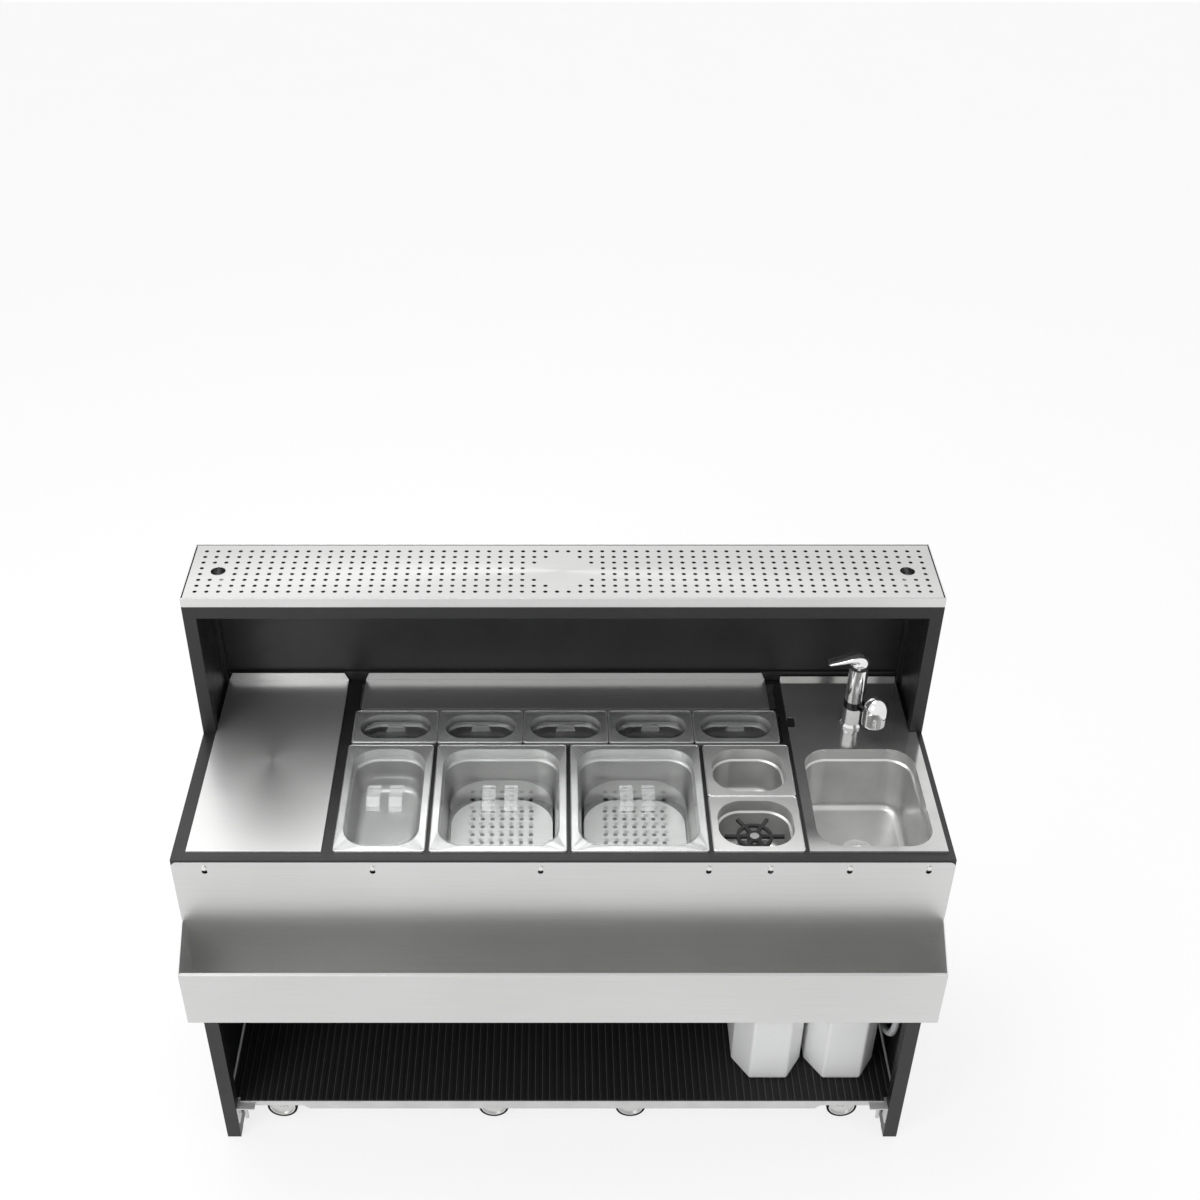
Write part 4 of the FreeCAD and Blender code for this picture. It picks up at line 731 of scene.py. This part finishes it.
def add_lever(material):
    axis = tap_axis()
    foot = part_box("tap_column")[1].z + LEVER_GAP
    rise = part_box("tap_lever")[1].z - foot
    across = Vector((0, 1, 0))
    rings = []
    for right, level, lean, half_width, half_thick in smooth_line(LEVER_STATIONS):
        centre = axis + Vector((right * MM, 0, foot + rise * level))
        thickness = Vector((math.cos(lean), 0, math.sin(lean)))
        rings.append(oval(centre, across, thickness, half_width * MM, half_thick * MM))
    verts, faces = skin(rings)
    lever = add_piece("tap_lever_handle", verts, faces, material, "tap_lever")
    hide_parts("tap_lever")


# Studio: a pale floor, a white surround and soft lamps

WHITE = (1, 1, 1, 1)
WORLD_LIGHT = 0.74
SURROUND_LIGHT = 1.0
FLOOR_REACH = 9.0
FLOOR_GLOW = 1.0
FLOOR_SHARE = 0.8


def background_rays(tree):
    """1 for the rays that show the surround: seen directly, mirrored or through glass."""
    path = tree.nodes.new("ShaderNodeLightPath")
    total = path.outputs["Is Camera Ray"]
    for ray in ("Is Glossy Ray", "Is Transmission Ray"):
        larger = tree.nodes.new("ShaderNodeMath")
        larger.operation = "MAXIMUM"
        tree.links.new(total, larger.inputs[0])
        tree.links.new(path.outputs[ray], larger.inputs[1])
        total = larger.outputs["Value"]
    return total


def add_floor():
    mesh = bpy.data.meshes.new("floor")
    corners = [(FLOOR_REACH * x, FLOOR_REACH * y, 0) for x, y in ((-1, -1), (1, -1), (1, 1), (-1, 1))]
    mesh.from_pydata(corners, [], [(0, 1, 2, 3)])
    floor = bpy.data.objects.new("floor", mesh)
    scene.collection.objects.link(floor)
    shader = Shader("pale_floor", roughness=0.9)
    shader.tint(shader.noise(scale=2, detail=2), grey(0.95), grey(0.97))
    glow = shader.node("ShaderNodeEmission", Strength=FLOOR_GLOW)
    share = shader.calculate("MULTIPLY", background_rays(shader.tree), FLOOR_SHARE)
    shader.cover(share, glow.outputs["Emission"])
    mesh.materials.append(shader.material)


def add_world():
    world = bpy.data.worlds.new("studio")
    world.use_nodes = True
    tree = world.node_tree
    scene.world = world
    light = tree.nodes["Background"]
    surround = tree.nodes.new("ShaderNodeBackground")
    for background, strength in ((light, WORLD_LIGHT), (surround, SURROUND_LIGHT)):
        background.inputs["Color"].default_value = WHITE
        background.inputs["Strength"].default_value = strength
    mix = tree.nodes.new("ShaderNodeMixShader")
    tree.links.new(background_rays(tree), mix.inputs["Fac"])
    tree.links.new(light.outputs["Background"], mix.inputs[1])
    tree.links.new(surround.outputs["Background"], mix.inputs[2])
    tree.links.new(mix.outputs["Shader"], tree.nodes["World Output"].inputs["Surface"])


def add_lamp(name, place, target, size, power):
    data = bpy.data.lights.new(name, "AREA")
    data.shape = "RECTANGLE"
    data.size, data.size_y = size
    data.energy = power
    lamp = bpy.data.objects.new(name, data)
    lamp.location = place
    lamp.rotation_euler = (Vector(target) - Vector(place)).to_track_quat("-Z", "Y").to_euler()
    scene.collection.objects.link(lamp)


add_camera()
looks = slot_looks()
dress(looks)
add_hose(looks["hose_plastic"])
# the near-black chrome of the collar and arm is painted dark reflection and shade
add_spout(looks["chrome"], chrome("painted_shade_chrome", dark=0.05, light=0.09))
add_lever(looks["chrome"])
for i in range(WHEELSET_COUNT):
    add_tyres(f"tyres_{i + 1}", f"wheelset_{i + 1}", looks["tyre_rubber"])
# paler than the pans' steel: a painted highlight along the real round edge
edge_steel = drawn_steel("painted_highlight_edge_steel", dark=0.88, light=0.96, roughness=0.22)
for pan in ("third_pan", "half_pan_left", "half_pan_right", "sixth_pan",
            *(f"ninth_pan_{i + 1}" for i in range(NINTH_COUNT))):
    add_rolled_edge(pan, pan, edge_steel)
add_rolled_edge("rinser_pan", "frame", edge_steel)
add_floor()
add_world()
add_lamp("overhead", place=(-0.6, 0.6, 3.6), target=(0, 0.1, 0.6), size=(2.4, 1.6), power=60)
add_lamp("front_left", place=(-2.4, -2.6, 2.4), target=(0, 0, 0.6), size=(1.6, 1.6), power=40)
scene.view_settings.view_transform = "Standard"
